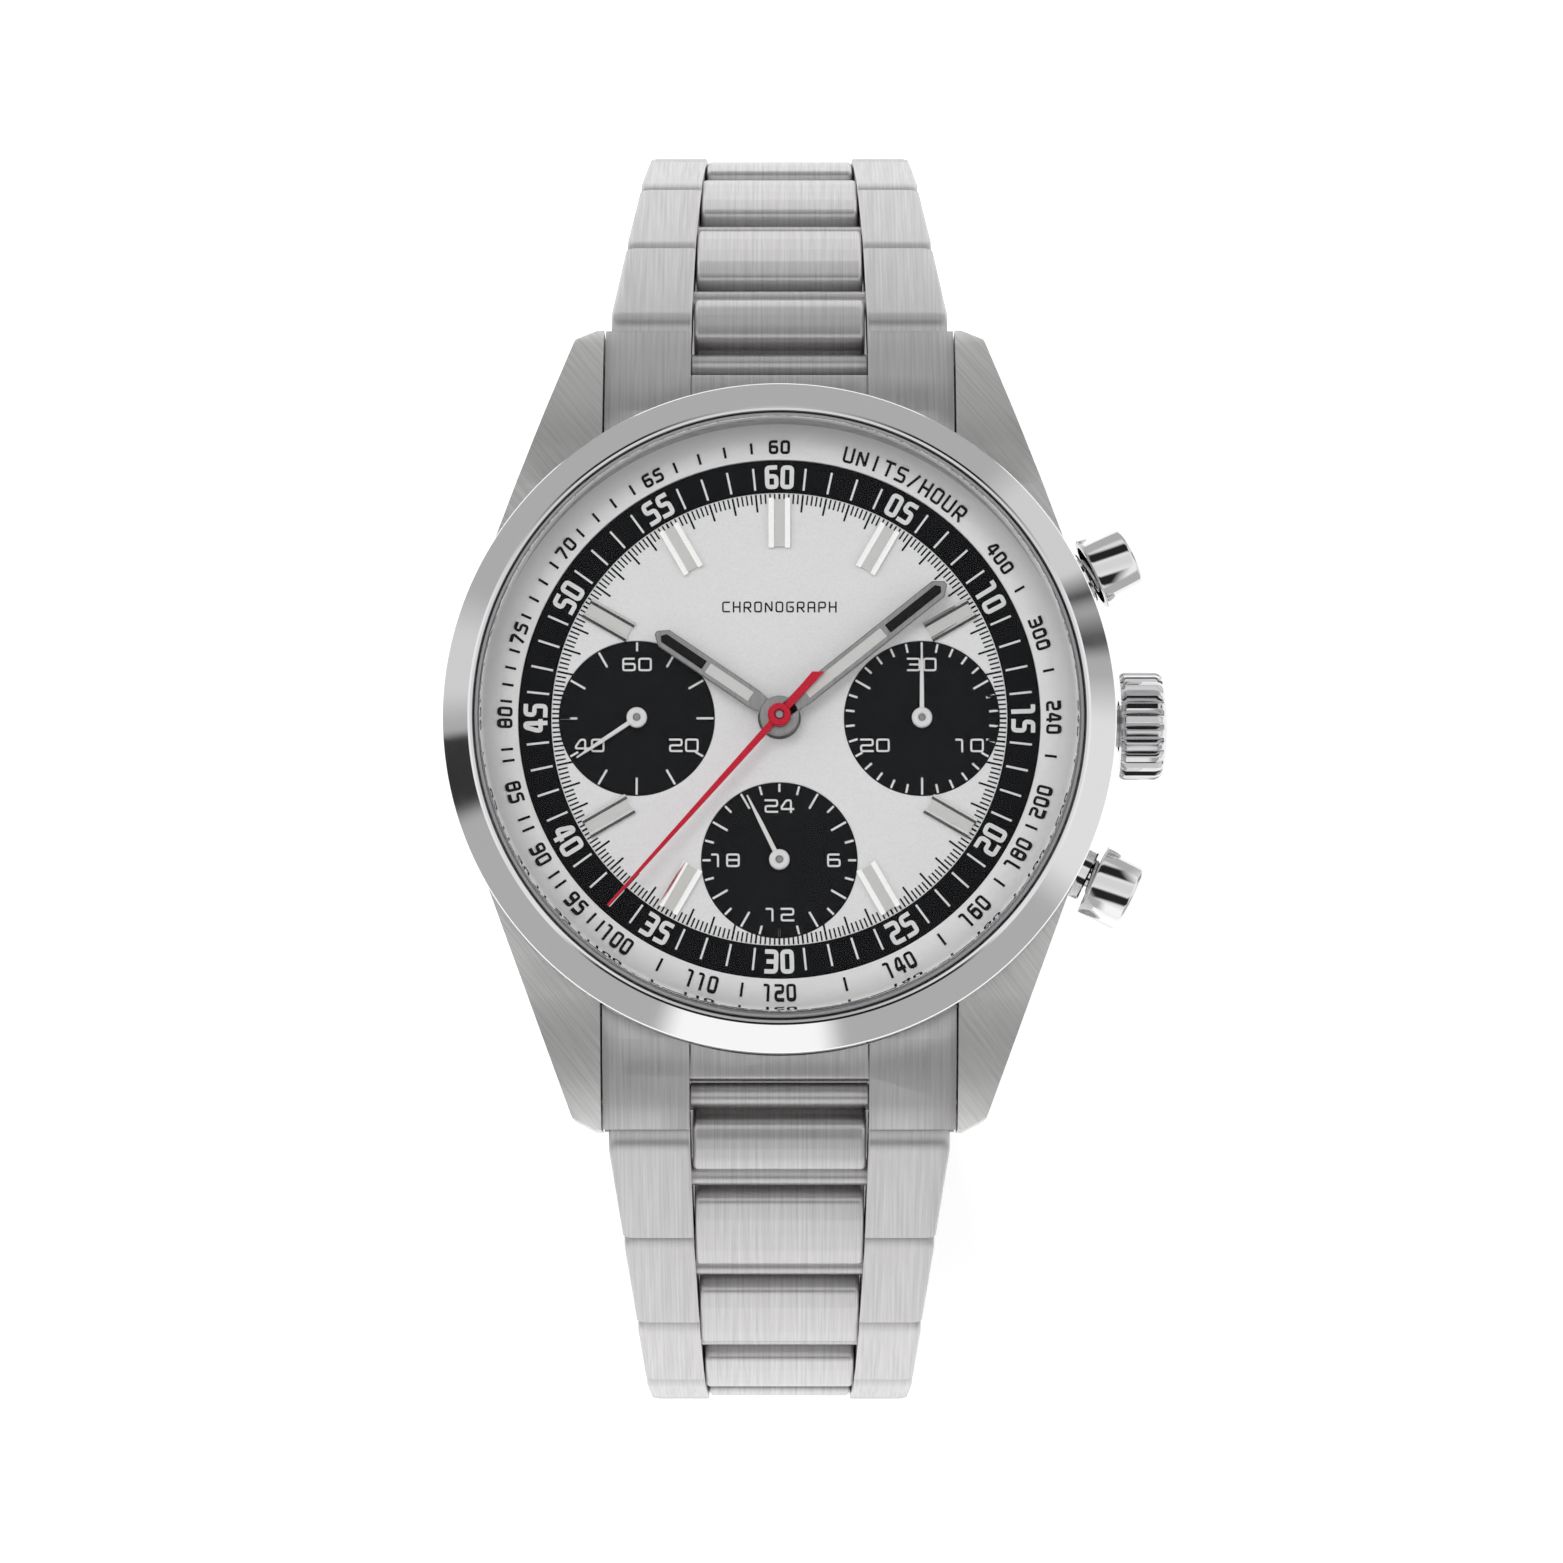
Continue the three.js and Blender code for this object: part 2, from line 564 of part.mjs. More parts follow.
function buildStrand(prefix, strand) {
  const halfThick = LINK_THICK / 2;
  const endTongue = box(
    [-CENTRE_HALF_WIDTHS[0], LUG_TIP_Y - 1, HINGE_Z - 1.2],
    [CENTRE_HALF_WIDTHS[0], HINGE_Y + TONGUE, HINGE_Z + 1.1],
  );
  const endLink = cut(
    join(solid(sideways(END_LINK_SIDE, LUG_GAP_HALF - SIDE_GAP)), endTongue),
    rod(BARREL_R + SIDE_GAP, -PAST, PAST, FINE_ROUND),
    sideRod(1.0, -PAST, PAST, SPRING_BAR_Y, HINGE_Z),
  );
  add(`${prefix}_end_link`, endLink, steel, strand);
  const tip = [[0, -11.1], [0.4, -11.1], [0.4, -9.7], [0.75, -9.7]];
  const bar = [...tip, ...tip.map(([r, x]) => [r, -x]).reverse()];
  const springBar = lathe(bar, PIN_ROUND).rotateY(Math.PI / 2);
  add(`${prefix}_spring_bar`, springBar.translate(0, SPRING_BAR_Y, HINGE_Z), nickel, strand);

  let y = HINGE_Y;
  let z = HINGE_Z;
  LINK_SLOPES.forEach((slope, i) => {
    const last = i === LINK_SLOPES.length - 1;
    const plan = linkPlan(
      LINK_HALF_WIDTHS[i],
      LINK_HALF_WIDTHS[i + 1],
      CENTRE_HALF_WIDTHS[i],
      CENTRE_HALF_WIDTHS[i + 1],
      PITCH,
      last ? 0 : TONGUE,
    );
    const link = add(`${prefix}_link_${i + 1}`, plate(plan, -halfThick, halfThick, 0.35), steel, strand);
    link.position.set(0, y, z);
    link.rotation.x = -radians(slope);
    y += PITCH * Math.cos(radians(slope));
    z -= PITCH * Math.sin(radians(slope));
  });
  return [y, z];
}

// The fold-over clasp lies flat across the bottom of the loop. From the wrist outwards it is the
// inner blade, the outer blade and the cover, hinged to each other at alternate ends.
function buildClasp([endY, endZ]) {
  const foldY = endY - 2.2;
  const foldZ = endZ + 0.3;
  const pivotY = -foldY;
  const pivotZ = endZ - 1.0;
  const sideKnuckles = (outerHalf, y, z) =>
    [1, -1].map((way) => sideRod(CLASP_PIN_R, way * SIDE_KNUCKLE_FROM, way * outerHalf, y, z));

  const inner = join(
    cut(
      solid(box([-INNER_BLADE_HALF, -endY + 0.4, endZ + 0.7], [INNER_BLADE_HALF, foldY - 0.1, endZ + 1.3])),
      box([-SIDE_KNUCKLE_FROM, foldY - KNUCKLE_REACH, endZ], [SIDE_KNUCKLE_FROM, PAST, endZ + 3]),
    ),
    ...sideKnuckles(OUTER_BLADE_HALF, foldY, foldZ),
  );
  add("clasp_inner_blade", inner, steel);

  const bladeTop = endZ - 0.1;
  const corners = [1, -1].flatMap((way) => {
    const [from, to] = [way * KNUCKLE_CUT, way * PAST].sort((a, b) => a - b);
    return [
      box([from, foldY - KNUCKLE_REACH, endZ - 3], [to, PAST, endZ + 3]),
      box([from, -PAST, endZ - 3], [to, pivotY + KNUCKLE_REACH, endZ + 3]),
    ];
  });
  const blade = box([-OUTER_BLADE_HALF, pivotY, bladeTop - BLADE_THICK], [OUTER_BLADE_HALF, foldY, bladeTop]);
  const outer = join(
    cut(solid(blade), ...corners),
    sideRod(CLASP_PIN_R, -MIDDLE_KNUCKLE_HALF, MIDDLE_KNUCKLE_HALF, foldY, foldZ),
    sideRod(CLASP_PIN_R, -MIDDLE_KNUCKLE_HALF, MIDDLE_KNUCKLE_HALF, pivotY, pivotZ),
  );
  add("clasp_outer_blade", outer, steel);

  const half = LINK_HALF_WIDTHS.at(-1);
  const coverLow = endZ + BLADE_THICK - COVER_HIGH;
  const cover = join(
    cut(
      solid(
        box(
          [-half - COVER_WALL, -endY + 0.5, coverLow],
          [half + COVER_WALL, endY - 0.5, endZ + BLADE_THICK],
        ),
      ),
      box([-half + COVER_WALL, -PAST, coverLow + COVER_FLOOR], [half - COVER_WALL, PAST, endZ + 2]),
      sideRod(BUTTON_R + 0.25, -PAST, PAST, BUTTON_Y, endZ - 0.6, SMALL_ROUND),
    ),
    ...sideKnuckles(half, pivotY, pivotZ),
  );
  add("clasp_cover", cover, steel);
  for (const [side, turn] of [["right", 0], ["left", Math.PI]]) {
    const button = sideRod(BUTTON_R, half - 0.6, half + 1.3, 0, 0, SMALL_ROUND);
    const mesh = add(`clasp_button_${side}`, button, polished);
    mesh.position.set(0, BUTTON_Y, endZ - 0.6);
    mesh.rotation.z = turn;
  }
}

buildCaseParts();
buildDial();
buildCentralHands();
subdialHand("running_seconds_hand", [-SUBDIAL_OFFSET, 0], RUNNING_ANGLE);
subdialHand("minute_counter_hand", [SUBDIAL_OFFSET, 0], COUNTER_ANGLE);
subdialHand("hour24_hand", [0, -SUBDIAL_OFFSET], HOUR24_ANGLE);
buildCrown();
buildPusher("start", PUSHER_ANGLE);
buildPusher("reset", -PUSHER_ANGLE);
buildMovement();
const upperStrand = new THREE.Group();
const lowerStrand = new THREE.Group();
lowerStrand.rotation.z = Math.PI;
watch.add(upperStrand, lowerStrand);
const strandEnd = buildStrand("upper", upperStrand);
buildStrand("lower", lowerStrand);
buildClasp(strandEnd);

export default watch;
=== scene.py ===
"""A steel chronograph wristwatch, closed on its bracelet. Shapes are in millimetres, in the CAD's frame."""

import json
import math

import bmesh
import bpy
from mathutils import Matrix, Vector


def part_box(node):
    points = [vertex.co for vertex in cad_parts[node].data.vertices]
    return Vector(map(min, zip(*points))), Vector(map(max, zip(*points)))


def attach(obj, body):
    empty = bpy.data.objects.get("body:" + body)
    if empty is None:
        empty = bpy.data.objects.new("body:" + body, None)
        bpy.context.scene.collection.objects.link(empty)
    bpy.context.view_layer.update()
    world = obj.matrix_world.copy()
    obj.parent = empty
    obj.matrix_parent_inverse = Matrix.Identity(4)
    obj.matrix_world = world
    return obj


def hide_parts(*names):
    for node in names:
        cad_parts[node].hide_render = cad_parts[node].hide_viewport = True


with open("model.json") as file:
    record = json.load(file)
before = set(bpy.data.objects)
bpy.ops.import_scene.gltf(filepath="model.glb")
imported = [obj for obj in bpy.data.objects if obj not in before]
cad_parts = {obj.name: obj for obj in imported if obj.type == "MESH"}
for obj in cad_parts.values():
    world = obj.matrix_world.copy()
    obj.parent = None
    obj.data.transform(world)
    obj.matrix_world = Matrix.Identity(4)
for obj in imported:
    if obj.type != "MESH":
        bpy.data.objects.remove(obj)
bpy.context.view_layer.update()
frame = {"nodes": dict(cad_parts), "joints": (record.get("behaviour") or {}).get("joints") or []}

MM = 0.001
JOINTS = {joint["name"]: joint for joint in frame["joints"]}

# Dial layout, in millimetres from the dial's centre, with angles clockwise from 12 o'clock
DIAL_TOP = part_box("tachymeter_ring")[0].z / MM - 0.1
DIAL_R = 16.9
RING_IN = 12.8
RING_OUT = 14.66
SCALE_IN = 14.68
SCALE_OUT = 16.4
SCALE_LOW = 8.65
SCALE_HIGH = 9.2
WALL_R = 16.95
NUMERAL_R = 15.36
SUBDIAL_OFFSET = 8.0
SUBDIAL_R = 4.4
CENTRES = {"left": (-SUBDIAL_OFFSET, 0.0), "right": (SUBDIAL_OFFSET, 0.0), "low": (0.0, -SUBDIAL_OFFSET)}
MARKER_HOURS = (0, 1, 2, 4, 5, 7, 8, 10, 11)
HOUR_ANGLE = 304.3
MINUTE_ANGLE = 51.2
CHRONO_ANGLE = 221.8

# How far printed marks stand off their surface
PRINT = 0.03
FINE_PRINT = 0.02
DIAL_PRINT = 0.015

# Case layout, with the pushers' angles above and below the crown
STEM_Z = 5.2
PUSHERS = {"start": 26.0, "reset": -26.0}
SPRING_BAR_Y = 21.1
SPRING_BAR_Z = 3.3
SPRING_BAR_BORE = 0.55

# Bracelet layout: half widths at each hinge from the case to the clasp, and the places of each link's parts
LINK_COUNT = 8
HALF_THICK = 1.4
HALF_WIDTHS = [9.7, 8.95, 8.3, 7.95, 7.85, 7.8, 7.8, 7.8, 7.8]
CENTRE_HALF = [5.0, 4.85, 4.6, 4.4, 4.25, 4.2, 4.2, 4.2, 4.2]
BAR_AT = 2.85
BAR_RISE = 0.95
PIN_AT = 5.6
HINGE_PLAY = 0.1


# Materials


def new_material(name, color, metallic=0.0, roughness=0.5, **sockets):
    material = bpy.data.materials.new(name)
    material.use_nodes = True
    shader = shader_of(material)
    shader.inputs["Base Color"].default_value = (*color, 1.0)
    shader.inputs["Metallic"].default_value = metallic
    shader.inputs["Roughness"].default_value = roughness
    for key, value in sockets.items():
        shader.inputs[key.replace("_", " ")].default_value = value
    return material


def shader_of(material):
    return material.node_tree.nodes["Principled BSDF"]


def add_node(material, kind, **values):
    node = material.node_tree.nodes.new(kind)
    for key, value in values.items():
        if hasattr(node, key):
            setattr(node, key, value)
        else:
            node.inputs[key.replace("_", " ")].default_value = value
    return node


def link(material, source, target):
    material.node_tree.links.new(source, target)


def ramp_to(material, value, target, dark, bright, low=0.3, high=0.7):
    """Runs a 0..1 value through a colour ramp into a shader socket."""
    ramp = add_node(material, "ShaderNodeValToRGB")
    ramp.color_ramp.elements[0].position = low
    ramp.color_ramp.elements[0].color = (*dark, 1.0)
    ramp.color_ramp.elements[1].position = high
    ramp.color_ramp.elements[1].color = (*bright, 1.0)
    link(material, value, ramp.inputs["Fac"])
    link(material, ramp.outputs["Color"], target)


def range_to(material, value, target, low, high):
    """Spreads the middle half of a 0..1 value over a shader socket's range."""
    spread = add_node(material, "ShaderNodeMapRange", From_Min=0.25, From_Max=0.75, To_Min=low, To_Max=high)
    link(material, value, spread.inputs["Value"])
    link(material, spread.outputs["Result"], target)


def bump(material, height, strength, distance):
    node = add_node(material, "ShaderNodeBump", Strength=strength, Distance=distance)
    link(material, height, node.inputs["Height"])
    link(material, node.outputs["Normal"], shader_of(material).inputs["Normal"])


def object_coords(material):
    return add_node(material, "ShaderNodeTexCoord").outputs["Object"]


def stretched_noise(material, vector, stretch, detail=4.0):
    """Noise drawn out along one axis: stretch is its frequency along X, Y and Z, per metre."""
    mapping = add_node(material, "ShaderNodeMapping")
    mapping.inputs["Scale"].default_value = stretch
    link(material, vector, mapping.inputs["Vector"])
    noise = add_node(material, "ShaderNodeTexNoise", Scale=1.0, Detail=detail, Roughness=0.65)
    link(material, mapping.outputs["Vector"], noise.inputs["Vector"])
    return noise.outputs["Fac"]


# How often brushing's streaks repeat in a metre, along the hairs and across them
HAIRS = (220.0, 17000.0)
BANDS = (140.0, 8000.0)


def brushed(name, color, roughness, along=(0, 1, 1), turn=0.0, strength=0.22):
    """Metal with a hair-line grain: fine streaks in colour, gloss and height along the marked axes."""
    material = new_material(name, color, 1.0, roughness)
    shader = shader_of(material)
    vector = object_coords(material)
    if turn:
        angle = math.radians(turn)
        rotate = add_node(material, "ShaderNodeVectorRotate", rotation_type="Z_AXIS", Angle=angle)
        link(material, vector, rotate.inputs["Vector"])
        vector = rotate.outputs["Vector"]
    hair = stretched_noise(material, vector, tuple(HAIRS[0] if axis else HAIRS[1] for axis in along))
    band = stretched_noise(material, vector, tuple(BANDS[0] if axis else BANDS[1] for axis in along), 2.0)
    dark = tuple(0.87 * c for c in color)
    bright = tuple(min(1.0, 1.08 * c) for c in color)
    ramp_to(material, band, shader.inputs["Base Color"], dark, bright)
    range_to(material, hair, shader.inputs["Roughness"], roughness - 0.07, roughness + 0.09)
    bump(material, hair, strength, 0.00002)
    return material


def polished(name, color, roughness=0.06):
    """Mirror-bright metal with faint wipe marks in its gloss."""
    material = new_material(name, color, 1.0, roughness)
    marks = stretched_noise(material, object_coords(material), (500.0, 900.0, 700.0), 3.0)
    range_to(material, marks, shader_of(material).inputs["Roughness"], roughness, roughness + 0.05)
    return material


def grained(name, color, roughness, metallic=0.0, grain=9000.0, strength=0.15, contrast=0.06, **sockets):
    """A painted or plated surface with a very fine even grain."""
    material = new_material(name, color, metallic, roughness, **sockets)
    shader = shader_of(material)
    noise = stretched_noise(material, object_coords(material), (grain, grain, grain), 3.0)
    dark = tuple(c * (1 - contrast) for c in color)
    bright = tuple(min(1.0, c * (1 + contrast)) for c in color)
    ramp_to(material, noise, shader.inputs["Base Color"], dark, bright)
    range_to(material, noise, shader.inputs["Roughness"], roughness - 0.05, roughness + 0.05)
    if strength:
        bump(material, noise, strength, 0.00001)
    return material


def spun_black():
    """Black lacquer over turned grooves, whose sheen fans out from the middle as on a record."""
    material = grained("groove_black", (0.003, 0.0034, 0.0045), 0.26, strength=0.0, Specular_IOR_Level=0.1,
                       Anisotropic=0.85)
    tangent = add_node(material, "ShaderNodeTangent", direction_type="RADIAL", axis="Z")
    link(material, tangent.outputs["Tangent"], shader_of(material).inputs["Tangent"])
    return material


def striped_nickel():
    """Plated bridge metal with straight wave stripes."""
    material = new_material("striped_nickel", (0.56, 0.55, 0.52), 1.0, 0.3)
    shader = shader_of(material)
    wave = add_node(material, "ShaderNodeTexWave", wave_type="BANDS", bands_direction="DIAGONAL",
                    wave_profile="SAW", Scale=110.0)
    link(material, object_coords(material), wave.inputs["Vector"])
    stripe = wave.outputs["Fac"]
    ramp_to(material, stripe, shader.inputs["Base Color"], (0.45, 0.44, 0.42), (0.68, 0.67, 0.64))
    range_to(material, stripe, shader.inputs["Roughness"], 0.2, 0.36)
    return material


def clear_glass():
    """Coated sapphire: solid glass that reflects little, and is clear to shadow rays so the dial is lit."""
    material = new_material("sapphire", (1.0, 1.0, 1.0), 0.0, 0.0, IOR=1.5, Transmission_Weight=1.0,
                            Specular_Tint=(0.1, 0.1, 0.1, 1.0))
    clear = add_node(material, "ShaderNodeBsdfTransparent")
    mix = add_node(material, "ShaderNodeMixShader")
    path = add_node(material, "ShaderNodeLightPath")
    link(material, path.outputs["Is Shadow Ray"], mix.inputs["Fac"])
    link(material, shader_of(material).outputs["BSDF"], mix.inputs[1])
    link(material, clear.outputs["BSDF"], mix.inputs[2])
    link(material, mix.outputs["Shader"], material.node_tree.nodes["Material Output"].inputs["Surface"])
    return material


STEEL = (0.60, 0.59, 0.595)
steel_links = brushed("steel_links", STEEL, 0.42)
steel_lugs = brushed("steel_lugs", (0.66, 0.655, 0.65), 0.45, turn=-38)
steel_plain = brushed("steel_plain", (0.52, 0.52, 0.525), 0.34, along=(1, 0, 1))
steel_bright = polished("steel_bright", (0.80, 0.80, 0.81), 0.05)
steel_crown = polished("steel_crown", (0.66, 0.66, 0.67), 0.07)
steel_edge = polished("steel_edge", (0.78, 0.78, 0.79), 0.12)
hand_steel = brushed("hand_steel", (0.38, 0.38, 0.38), 0.38, strength=0.15)
marker_steel = polished("marker_steel", (0.92, 0.92, 0.91), 0.1)
glass = clear_glass()
seal = grained("seal_nylon", (0.3, 0.3, 0.31), 0.35)
rubber = grained("gasket_rubber", (0.02, 0.02, 0.022), 0.6)
silver = grained("silver_dial", (0.93, 0.93, 0.935), 0.42, 0.1, strength=0.2, contrast=0.05)
ring_white = grained("scale_white", (0.94, 0.94, 0.935), 0.5, grain=5000.0, contrast=0.02)
ring_black = grained("ring_black", (0.004, 0.0044, 0.0055), 0.45, strength=0.0, Specular_IOR_Level=0.06)
groove_black = spun_black()
print_black = grained("print_black", (0.008, 0.008, 0.009), 0.5, strength=0.0, Specular_IOR_Level=0.12)
print_white = grained("print_white", (0.86, 0.86, 0.86), 0.5, contrast=0.02)
lume = grained("lume", (0.72, 0.72, 0.70), 0.6, grain=12000.0, strength=0.3, contrast=0.04)
red_paint = grained("red_lacquer", (0.62, 0.006, 0.032), 0.35, contrast=0.03, Specular_IOR_Level=0.3)
white_paint = grained("white_lacquer", (0.85, 0.85, 0.85), 0.35, contrast=0.02)
nickel = brushed("nickel", (0.6, 0.59, 0.56), 0.3, strength=0.1)
stripes = striped_nickel()
gilt = polished("gilt_brass", (0.78, 0.55, 0.22), 0.2)
ruby = new_material("ruby", (0.55, 0.01, 0.06), 0.0, 0.06)
blued = polished("blued_steel", (0.02, 0.05, 0.28), 0.15)
holder_grey = grained("holder_grey", (0.5, 0.5, 0.5), 0.55)


# Shapes


# A profile's point nearer the axis than this lies on it
ON_AXIS = 1e-9


class Build:
    """Vertices in millimetres and faces, gathered from simple shapes into one piece."""

    def __init__(self):
        self.verts = []
        self.faces = []
        self.slots = []

    def add(self, shape, slot=0, place=None):
        verts, faces = shape
        base = len(self.verts)
        self.verts += [place(v) if place else v for v in verts]
        self.faces += [[base + i for i in face] for face in faces]
        self.slots += [slot] * len(faces)
        return self


def finish_mesh(mesh, angle):
    """Welds the mesh, turns its faces outwards and shades it smooth, but for edges sharper than an angle."""
    work = bmesh.new()
    work.from_mesh(mesh)
    bmesh.ops.remove_doubles(work, verts=work.verts, dist=2e-8)
    bmesh.ops.recalc_face_normals(work, faces=work.faces)
    work.to_mesh(mesh)
    work.free()
    mesh.polygons.foreach_set("use_smooth", [True] * len(mesh.polygons))
    mesh.set_sharp_from_angle(angle=math.radians(angle))


def piece(name, build, materials, body, slot, replaces=(), angle=35.0, matrix=None):
    """Makes one object from a Build or a single shape, and hides the CAD nodes it stands for."""
    if not isinstance(build, Build):
        build = Build().add(build)
    mesh = bpy.data.meshes.new(name)
    mesh.from_pydata([Vector(v) * MM for v in build.verts], [], build.faces)
    mesh.polygons.foreach_set("material_index", build.slots)
    finish_mesh(mesh, angle)
    return adopt(name, mesh, materials, body, slot, replaces, matrix)


def adopt(name, mesh, materials, body, slot, replaces=(), matrix=None):
    """Makes one object from a mesh and rides it on its body."""
    for material in materials if isinstance(materials, (list, tuple)) else [materials]:
        mesh.materials.append(material)
    made = bpy.data.objects.new(name, mesh)
    bpy.context.scene.collection.objects.link(made)
    if matrix is not None:
        made.matrix_world = matrix
    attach(made, body)
    if replaces:
        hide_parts(*replaces)
    return made


def loft(loops, capped=True):
    """Faces between loops of equal length, with a cap at each end."""
    count = len(loops[0])
    verts = [v for loop in loops for v in loop]
    faces = []
    for k in range(len(loops) - 1):
        for i in range(count):
            j = (i + 1) % count
            faces.append([k * count + i, k * count + j, (k + 1) * count + j, (k + 1) * count + i])
    if capped:
        faces.append(list(range(count))[::-1])
        faces.append([(len(loops) - 1) * count + i for i in range(count)])
    return verts, faces


def solid(radius, low, high):
    """The profile of a plain cylinder."""
    return [(0, low), (radius, low), (radius, high), (0, high)]


def turned(profile, segments=128, centre=(0.0, 0.0), shape=None):
    """A body of revolution about Z. shape(angle, radius, z) may change the radius, as flutes do."""
    hollow = profile[0][0] > ON_AXIS or profile[-1][0] > ON_AXIS
    verts = []
    for k in range(segments):
        angle = 2 * math.pi * k / segments
        for radius, z in profile:
            r = shape(angle, radius, z) if shape else radius
            verts.append((centre[0] + r * math.cos(angle), centre[1] + r * math.sin(angle), z))
    count = len(profile)
    faces = []
    for k in range(segments):
        after = (k + 1) % segments
        for i in range(count if hollow else count - 1):
            j = (i + 1) % count
            corners = [k * count + i, after * count + i, after * count + j, k * count + j]
            if profile[i][0] < ON_AXIS:
                corners = corners[1:]
            elif profile[j][0] < ON_AXIS:
                corners = corners[:3]
            faces.append(corners)
    return verts, faces


def corner_curve(first, here, last, steps):
    """Points on the curve that rounds off a corner."""
    for k in range(steps + 1):
        t = k / steps
        yield (1 - t) ** 2 * first + 2 * t * (1 - t) * here + t * t * last


def rounded(corners, radius, steps=4):
    """A closed outline whose corners become curves. A corner may give its own radius as a third value."""
    points = []
    for i, corner in enumerate(corners):
        here = Vector(corner[:2])
        before = Vector(corners[i - 1][:2]) - here
        after = Vector(corners[(i + 1) % len(corners)][:2]) - here
        r = corner[2] if len(corner) > 2 else radius
        reach = min(r / math.tan(before.angle(after) / 2), 0.49 * before.length, 0.49 * after.length)
        if reach < 1e-4:
            points.append(tuple(here))
            continue
        first = here + before.normalized() * reach
        last = here + after.normalized() * reach
        points += [tuple(point) for point in corner_curve(first, here, last, steps)]
    return points


def slab(outline, low, high, edge=0.0):
    """An outline in the dial's plane with thickness, its top edge cut back by a small bevel."""
    loops = [[(x, y, low) for x, y in outline]]
    if edge:
        loops.append([(x, y, high - edge) for x, y in outline])
        outline = inset(outline, edge)
    loops.append([(x, y, high) for x, y in outline])
    return loft(loops)


def inset(outline, amount):
    """The outline moved inwards by an amount, by shifting each point along its mean normal."""
    area = sum(a[0] * b[1] - b[0] * a[1] for a, b in zip(outline, outline[1:] + outline[:1]))
    way = 1.0 if area > 0 else -1.0
    moved = []
    for i, here in enumerate(outline):
        before = Vector(here) - Vector(outline[i - 1])
        after = Vector(outline[(i + 1) % len(outline)]) - Vector(here)
        normals = [Vector((-d.y, d.x)).normalized() for d in (before, after) if d.length > 1e-9]
        mean = sum(normals, Vector((0.0, 0.0))).normalized()
        lean = max(0.4, mean.dot(normals[0]))
        moved.append((here[0] + way * mean.x * amount / lean, here[1] + way * mean.y * amount / lean))
    return moved


def block(low, high):
    corners = [(low[0], low[1]), (high[0], low[1]), (high[0], high[1]), (low[0], high[1])]
    return slab(corners, low[2], high[2])


def along_x(shape, way, y, z):
    """Lays a turned body's axis along X, or -X where way is -1, at a place in the case's side view."""
    verts, faces = shape
    return [(way * v[2], y + v[0], z + v[1]) for v in verts], faces


def level(z):
    """A flat surface for print: the same height at each radius."""
    return lambda radius: z


def polar(angle, radius):
    """A point at an angle in degrees clockwise from 12 o'clock."""
    return radius * math.sin(math.radians(angle)), radius * math.cos(math.radians(angle))


def clockwise(angle, centre=(0.0, 0.0)):
    """Turns a point drawn at 12 o'clock to an angle clockwise, about a centre."""
    c, s = math.cos(math.radians(angle)), math.sin(math.radians(angle))
    return lambda v: (centre[0] + v[0] * c + v[1] * s, centre[1] - v[0] * s + v[1] * c, v[2])


# Lettering: strokes on a unit square, drawn with rounded corners


# Each piece of a stroke stands this much higher than the last, so that no two tops lie in one plane
PRINT_STEP = 0.0006
PRINT_SUNK = 0.004
STROKES = {
    "0": [[(0, 0), (0, 1), (1, 1), (1, 0), (0, 0)]],
    "1": [[(0.1, 1), (0.6, 1), (0.6, 0)]],
    "2": [[(0, 1), (1, 1), (1, 0.5), (0, 0.5), (0, 0), (1, 0)]],
    "3": [[(0, 1), (1, 1), (1, 0), (0, 0)], [(0.2, 0.5), (1, 0.5)]],
    "4": [[(0.8, 0), (0.8, 1), (0.4, 1), (0, 0.42), (0, 0.24), (1, 0.24)]],
    "5": [[(0.95, 1), (0.06, 1), (0, 0.56), (1, 0.56), (1, 0), (0, 0)]],
    "6": [[(0.9, 1), (0, 1), (0, 0), (1, 0), (1, 0.55), (0, 0.55)]],
    "7": [[(0, 1), (1, 1), (0.35, 0)]],
    "8": [[(0, 0), (0, 1), (1, 1), (1, 0), (0, 0)], [(0, 0.52), (1, 0.52)]],
    "9": [[(0.1, 0), (1, 0), (1, 1), (0, 1), (0, 0.45), (1, 0.45)]],
    "A": [[(0, 0), (0, 1), (1, 1), (1, 0)], [(0, 0.42), (1, 0.42)]],
    "C": [[(1, 1), (0, 1), (0, 0), (1, 0)]],
    "G": [[(1, 1), (0, 1), (0, 0), (1, 0), (1, 0.5), (0.55, 0.5)]],
    "H": [[(0, 0), (0, 1)], [(1, 0), (1, 1)], [(0, 0.5), (1, 0.5)]],
    "I": [[(0.5, 0), (0.5, 1)]],
    "N": [[(0, 0), (0, 1), (1, 0), (1, 1)]],
    "O": [[(0, 0), (0, 1), (1, 1), (1, 0), (0, 0)]],
    "P": [[(0, 0), (0, 1), (1, 1), (1, 0.42), (0, 0.42)]],
    "R": [[(0, 0), (0, 1), (1, 1), (1, 0.42), (0, 0.42)], [(0.5, 0.42), (1, 0)]],
    "S": [[(1, 1), (0, 1), (0, 0.52), (1, 0.52), (1, 0), (0, 0)]],
    "T": [[(0, 1), (1, 1)], [(0.5, 1), (0.5, 0)]],
    "U": [[(0, 1), (0, 0), (1, 0), (1, 1)]],
    "/": [[(0.15, 0), (0.85, 1)]],
}


